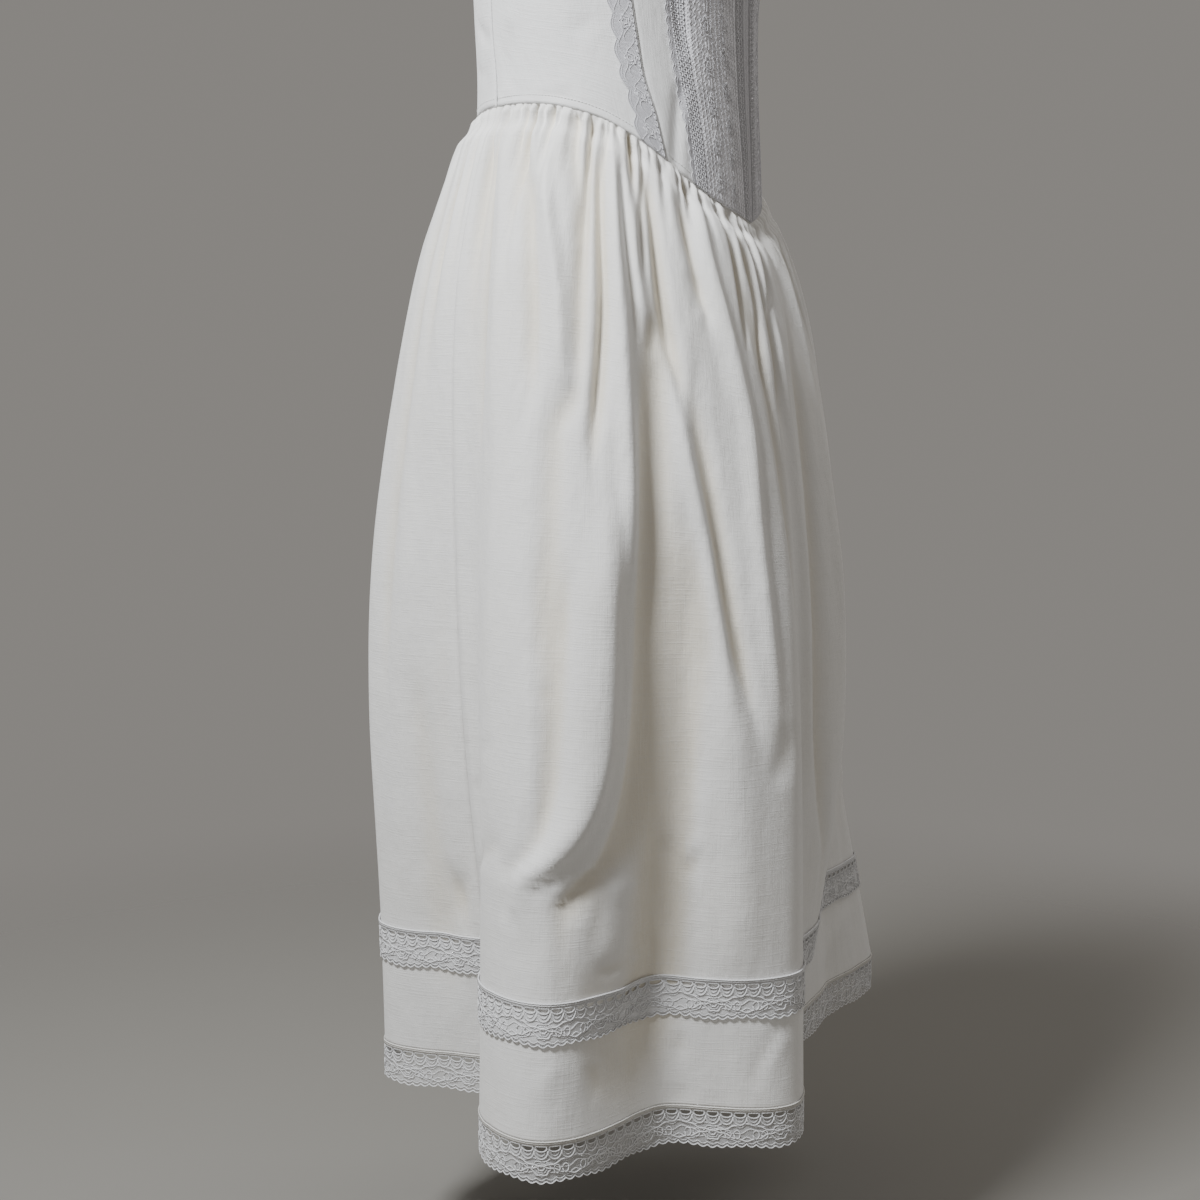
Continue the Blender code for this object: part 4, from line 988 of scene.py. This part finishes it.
def galloonCords(name, place, length, repeats, material, headingMaterial):
    # raised cords: the heading's two lines, a fan under each hole, two crossing waves, roses and the scalloped edge
    g = galloon
    pitch = length / repeats
    batches = []

    def cord(along, up, radius):
        # normals come from two short steps across the surface
        along = np.clip(along, 0.0006, length - 0.0006)
        radius = 1.2 * radius  # three sides need more
        path = place(along, up, radius * 0.7)
        out = unit(place(along, up, 0.001) - place(along, up, 0.0))
        batches.append(tubes(path, out, radius, 3, 0.8))

    fine = np.linspace(0, length, repeats * 8 + 1)[None]
    for drop, radius in ((0.0007, g["heading"]), (0.0022, g["heading"]), (0.0036, g["cord"])):
        cord(fine, g["height"] - drop + 0.00025 * np.sin(2 * np.pi * fine / 0.0035 + 900 * drop), radius)
    batches, heading = [], batches
    middle = (np.arange(repeats)[:, None] + 0.5) * pitch
    turn = np.linspace(0, 2 * np.pi, 13)[None]
    across, tall = g["holeWidth"] / 2 + 0.0004, (g["holeTop"] - g["holeBottom"]) / 2
    flat = np.where(np.sin(turn) > 0, tall * np.minimum(1, 2.2 * np.sin(turn)), 1.15 * tall * np.sin(turn))
    cord(middle + across * np.cos(turn), g["holeTop"] - tall + flat, g["cord"])
    arc = np.linspace(0, np.pi, 9)[None]
    for size, low, radius in ((1.02, 0.0078, g["cord"]), (0.62, 0.0048, g["fine"])):
        cord(middle - pitch / 2 * size * np.cos(arc), g["holeBottom"] + 0.0005 - low * np.sin(arc), radius)
    rose = pitch * g["holesPerRose"]
    wave = np.linspace(0, length, repeats * 8 + 1)[None]
    ripple = 2 * np.pi * wave / rose
    for middleHeight, deep, times, start, radius in (
            (0.0205, 0.0036, 1, 0.0, g["cord"]), (0.0125, 0.0040, 1, np.pi, g["cord"]),
            (0.0225, 0.0016, 3, 0.7, g["fine"]), (0.0170, 0.0024, 2, 1.1, g["fine"]),
            (0.0095, 0.0018, 3, 0.2, g["fine"])):
        cord(wave, middleHeight + deep * np.cos(times * ripple + start) + 0.0007 * np.cos(5 * ripple + start), radius)
    edge = np.linspace(0, length, repeats * 10 + 1)[None]
    cord(edge, galloonEdge(edge, pitch) + 0.0004, g["cord"])
    cord(edge, galloonEdge(edge, pitch) * 0.9 + 0.0036, g["fine"])
    centre = (np.arange(int(repeats / g["holesPerRose"]))[:, None] + 0.5) * rose
    round_ = np.linspace(0, 2 * np.pi, 25)[None]
    for size, petal, radius in ((1.0, 0.12, g["cord"]), (0.66, 0.08, g["fine"]), (0.34, 0.2, g["cord"])):
        reach = g["rose"] * size * (1 + petal * np.cos(6 * round_))
        cord(centre + reach * np.cos(round_), 0.0150 + reach * 0.78 * np.sin(round_), radius)
    spots = np.concatenate([centre + s * rose for s in (-0.36, -0.23, 0.23, 0.36)])
    leaf = np.linspace(0, 2 * np.pi, 9)[None]
    cord(spots + 0.0030 * np.cos(leaf), 0.0142 + 0.0042 * np.sin(leaf), g["cord"])
    trimming(joinedTubes(name + ".heading", heading, headingMaterial))
    return trimming(joinedTubes(name, batches, material))


def bandPlace(name):
    def place(along, up, lift):
        share = np.clip(along / panels[name]["length"], 0, 1)
        return skirtPoint(name, share, up + 0.1225, lift + 0.0013)[0]
    return place


def hemPlace(name):
    def place(along, up, lift):
        # the hem lace hangs straight down from the cloth's edge
        share, up = np.broadcast_arrays(np.clip(along / panels[name]["length"], 0, 1), up)
        point = skirtPoint(name, share, np.full(share.shape, skirt["clothEdge"]), lift)[0]
        point[..., 2] = up - bodice["fullLength"]
        return point
    return place


for name, rests in (("front", "skirt_front"), ("back", "skirt_back")):
    long = panels[name]["length"]
    repeats = round(long / galloon["pitch"])
    base = galloonBase(f"laceBand.{name}", bandPlace(name), long, repeats, bandNet, f"lace_band_{name}")
    galloonCords(f"laceBandCords.{name}", bandPlace(name), long, repeats, laceThread, laceThread)
    base = galloonBase(f"hemLace.{name}", hemPlace(name), long, repeats, hemNet, f"lace_hem_{name}")
    galloonCords(f"hemLaceCords.{name}", hemPlace(name), long, repeats, laceThread, headingThread)
print("skirt lace made")


# Bodice lace: each piece covers some columns of its panel's grid

bodiceLace = {
    "lift": 0.0012, "thin": 0.0005,
    "pieces": (("front_edge", "front", 0, 1, 0.030), ("galloon_inner", "front", 1, 2, 0.030),
               ("plastron", "front", 2, 5, 0.0), ("galloon_outer", "front", 5, 6, 0.10),
               ("princess_strip", "side", 0, 2, 0.14)),  # panel, first and last column, scallop as a share of the width
}


def lacePlace(grid, first, last, left):
    # the lace's own share across and along, put on the panel's columns from first to last
    wide = grid[0].shape[1] - 1
    angles, heights = (refined(g, 240, wide * 10 + 1)[:, first * 10:last * 10 + 1] for g in grid)

    def place(s, t, lift):
        s, t = np.broadcast_arrays(s, t)
        angle, z = sampled(angles, s, t), sampled(heights, s, t)
        return bodiceSurface(360 - angle if left else angle, z, bodiceLace["lift"] + lift)
    return place


def laceShell(name, place, scallop, scallops, material):
    t = np.linspace(0, 1, 141)[:, None]
    s = np.linspace(0, 1, 13)[None]
    edge = scallop * (1 - np.abs(np.sin(np.pi * t * scallops)))
    s = s * (1 - edge)
    t = np.broadcast_to(t, s.shape)
    outer = pullIn(place(s, t, 0.0), 0.0004)
    inner = pullIn(place(s, t, -bodiceLace["thin"]), 0.0004)
    return shellMesh(name, outer, inner, panelUv(outer), material)


def bodiceCords(name, kind, place, length, width, scallop, scallops):
    batches = []

    def cord(s, t, radius=0.00042):
        s, t = np.broadcast_arrays(np.clip(s, 0.004, 0.996), np.clip(t, 0.002, 0.998))
        out = unit(place(s, t, 0.001) - place(s, t, 0.0))
        batches.append(tubes(place(s, t, radius * 0.7), out, 1.15 * radius, 3, 0.8))

    def loops(s, pitch, wide, radius):
        # small rings, one below another
        count = int(length / pitch)
        where = (np.arange(count)[:, None] + 0.5) / count
        ring = np.linspace(0, 2 * np.pi, 9)[None]
        cord(s + wide / width * np.cos(ring), where + 0.42 * pitch / length * np.sin(ring), radius)

    def flowers(s, count, size, petals):
        where = (np.arange(count)[:, None] + 0.5) / count
        turn = np.linspace(0, 2 * np.pi, 21)[None]
        for share in (1.0, 0.5):
            radius = size * share * (1 + petals * np.cos(5 * turn))
            cord(s + radius * np.cos(turn) / width, where + radius * np.sin(turn) / length, 0.00036)

    t = np.linspace(0, 1, int(length / 0.0022))[None]
    edge = 1 - scallop * (1 - np.abs(np.sin(np.pi * t * scallops)))
    if kind in ("galloon_outer", "princess_strip", "front_edge"):
        cord(edge - 0.01, t, 0.00045)
        cord(edge - 0.0022 / width, t, 0.00028)
    if kind == "galloon_outer":
        for s, wide in ((0.12, 0.0017), (0.36, 0.0020), (0.62, 0.0018)):
            loops(s, 0.0052, wide, 0.00044)
    if kind == "galloon_inner":
        for s in (0.30, 0.72):
            loops(s, 0.0052, 0.0019, 0.00042)
    if kind == "princess_strip":
        for middle, swing, phase in ((0.34, 0.2, 0.0), (0.34, 0.2, np.pi), (0.68, 0.14, 1.6)):
            cord(middle + swing * np.sin(2 * np.pi * t * length / 0.030 + phase), t, 0.00038)
        flowers(0.42, int(length / 0.030), 0.0052, 0.18)
        loops(0.08, 0.0060, 0.0009, 0.00038)
    if kind == "plastron":
        close = np.linspace(0, 1, int(length / 0.0016))[None]
        for s in np.array([0.07, 0.15, 0.23, 0.42, 0.50, 0.58, 0.77, 0.85, 0.93]):
            cord(s + 0.0014 / width * np.sin(2 * np.pi * close * length / 0.0064), close, 0.00027)
        for s in (0.325, 0.675):
            flowers(s, int(length / 0.034), 0.0078, 0.20)
            loops(s, 0.0170, 0.0026, 0.00034)
    if not batches:
        return None
    thing = joinedTubes(name, batches, bodiceThread)
    print(name, "triangles", 2 * len(thing.data.polygons))
    return trimming(thing)


for hand in ("right", "left"):
    for kind, panel, first, last, scallop in bodiceLace["pieces"]:
        grid = front if panel == "front" else side
        place = lacePlace(grid, first, last, hand == "left")
        line = place(np.full(60, 0.5), np.linspace(0, 1, 60), 0.0)
        length = np.linalg.norm(np.diff(line, axis=0), axis=1).sum()
        across = place(np.linspace(0, 1, 30)[None] + np.zeros((9, 1)), np.linspace(0.05, 0.95, 9)[:, None], 0.0)
        width = np.linalg.norm(np.diff(across, axis=1), axis=2).sum(1).mean()
        scallops = max(2, round(length / (0.012 if kind != "princess_strip" else 0.024)))
        cells = place(np.linspace(0, 1, 30)[None], np.linspace(0, 1, 60)[:, None], 0.0)
        cutArea = np.linalg.norm(np.cross(np.diff(cells, axis=1)[:-1], np.diff(cells, axis=0)[:, :-1]), axis=-1).sum()
        print(kind, hand, "width", round(width, 4), "length", round(length, 4), "area", round(cutArea, 5))
        thing = laceShell(f"lace_{kind}.{hand}", place, scallop, scallops, plastronNet if kind == "plastron" else bodiceNet)
        finishPiece(thing, f"lace_{kind}_{hand}")
        bodiceCords(f"cords_{kind}.{hand}", kind, place, length, width, scallop, scallops)
print("bodice lace made")


# Seams: piping in the princess seams, and small stitches

stitching = {"length": 0.0022, "gap": 0.0011, "radius": 0.00028, "piping": 0.0011}


def seamPath(angle, z, lift):
    return bodiceSurface(angle, z, lift)


def stitchesAlong(path, out):
    # short capsules laid end to end along a path of points
    steps = np.linalg.norm(np.diff(path, axis=0), axis=1)
    total = np.concatenate([[0], np.cumsum(steps)])
    each = stitching["length"] + stitching["gap"]
    count = int(total[-1] / each)
    where = (np.arange(count)[:, None] + 0.5) * each + np.linspace(-0.5, 0.5, 5)[None] * stitching["length"]
    points = np.stack([np.interp(where, total, path[:, k]) for k in range(3)], -1)
    normals = np.stack([np.interp(where, total, out[:, k]) for k in range(3)], -1)
    bow = np.array([-0.3, 0.5, 0.8, 0.5, -0.3]) * stitching["radius"]
    points = points + unit(normals) * bow[:, None]
    return tubes(points, unit(normals), stitching["radius"], 4)


def bodiceStitches():
    batches = []
    for left in (False, True):
        for grid, inset in ((front, 0.0), (side, 0.0)):
            angle, z = (refined(g, 200, 60) for g in grid)
            if left:
                angle = 360 - angle
            foot = angle[0], z[0] + 0.0075
            batches.append(stitchesAlong(bodiceSurface(*foot, 0.0), bodiceNormal(*foot)))
    angle, z = (refined(g, 200, 120) for g in back)
    foot = angle[0], z[0] + 0.0075
    batches.append(stitchesAlong(bodiceSurface(*foot, 0.0), bodiceNormal(*foot)))
    return batches


def piping():
    batches = []
    for left in (False, True):
        for grid, edge, rows in ((side, 0, None), (side, -1, None)):
            angle, z = (refined(g, 160, 60)[:, edge] for g in grid)
            if left:
                angle = 360 - angle
            path, out = bodiceSurface(angle, z, -0.0002)[None], bodiceNormal(angle, z)[None]
            batches.append(tubes(path, out, stitching["piping"], 8))
    return batches


trimming(joinedTubes("waistStitches", bodiceStitches(), sewingThread))
trimming(joinedTubes("seamPiping", piping(), bodiceCloth))
print("seams made")


# Studio: floor, light and camera

studio = {
    "floor": -1.53, "floorRadii": (0.0005, 0.5, 1.0, 1.5, 1.9), "floorFade": (0.95, 1.85), "floorColour": (0.26, 0.25, 0.23),
    "air": (0.250, 0.238, 0.222),
    "eye": (-1.848, -0.840, -0.580), "forward": (0.8970, 0.4183, -0.1426), "right": (0.4226, -0.9063, 0.0),
    "lens": 62.4, "sensor": 36.0,
}


def areaLight(name, place, aim, size, power, colour, spread):
    data = bpy.data.lights.new(name, "AREA")
    data.shape = "RECTANGLE"
    data.size, data.size_y = size
    data.energy = power
    data.color = colour
    data.spread = np.radians(spread)
    lamp = bpy.data.objects.new(name, data)
    bpy.context.scene.collection.objects.link(lamp)
    z = unit(np.array(place, float) - np.array(aim, float))
    x = unit(np.cross((0, 0, 1), z))
    turn = np.eye(4)
    turn[:3, :3] = np.stack([x, np.cross(z, x), z], 1)
    turn[:3, 3] = place
    lamp.matrix_world = Matrix(turn.tolist())
    return lamp


def studioFloor():
    # a disc that fades out with its radius
    z, radii = studio["floor"], np.array(studio["floorRadii"])
    ring = np.linspace(0, 2 * np.pi, 65)[:-1]
    points = np.stack([radii[:, None] * np.cos(ring), radii[:, None] * np.sin(ring), np.full((5, 64), z)], -1)
    number = np.arange(5 * 64).reshape(5, 64)
    turned = np.roll(number, -1, 1)
    faces = np.stack([number[:-1], number[1:], turned[1:], turned[:-1]], -1).reshape(-1, 4)
    kit = Kit("studioFloor")
    x, y, rest = kit.axes(kit.place())
    fade = 1 - (x * x + y * y).root().step(*studio["floorFade"])
    grain = kit.noise(kit.place(), 3.0, 4.0)
    tone = kit.mixed(grain * 0.3, studio["floorColour"], tuple(0.9 * c for c in studio["floorColour"]))
    floor = putMesh("floor", points.reshape(-1, 3), [faces], points.reshape(-1, 3)[:, :2],
                    kit.finish(Base_Color=tone, Roughness=0.8, Alpha=fade), False)


def studioCamera():
    data = bpy.data.cameras.new("camera")
    data.lens, data.sensor_width = studio["lens"], studio["sensor"]
    camera = bpy.data.objects.new("camera", data)
    bpy.context.scene.collection.objects.link(camera)
    forward = unit(np.array(studio["forward"]))
    right = unit(np.array(studio["right"]))
    turn = np.eye(4)
    turn[:3, :3] = np.stack([right, np.cross(right, forward), -forward], 1)
    turn[:3, 3] = studio["eye"]
    camera.matrix_world = Matrix(turn.tolist())
    bpy.context.scene.camera = camera


def studioAir():
    world = bpy.data.worlds.new("air")
    world.use_nodes = True
    back = world.node_tree.nodes["Background"]
    back.inputs["Color"].default_value = (*studio["air"], 1.0)
    bpy.context.scene.world = world


studioFloor()
studioAir()
studioCamera()
areaLight("keyLight", (-1.40, 0.36, 0.98), (0, 0, -0.28), (0.5, 0.5), 92, (0.955, 0.98, 1.0), 180)
areaLight("fillLight", (1.6, -1.0, 0.9), (0, 0, -0.6), (1.4, 1.4), 13, (1.0, 0.98, 0.95), 180)
print("studio made")
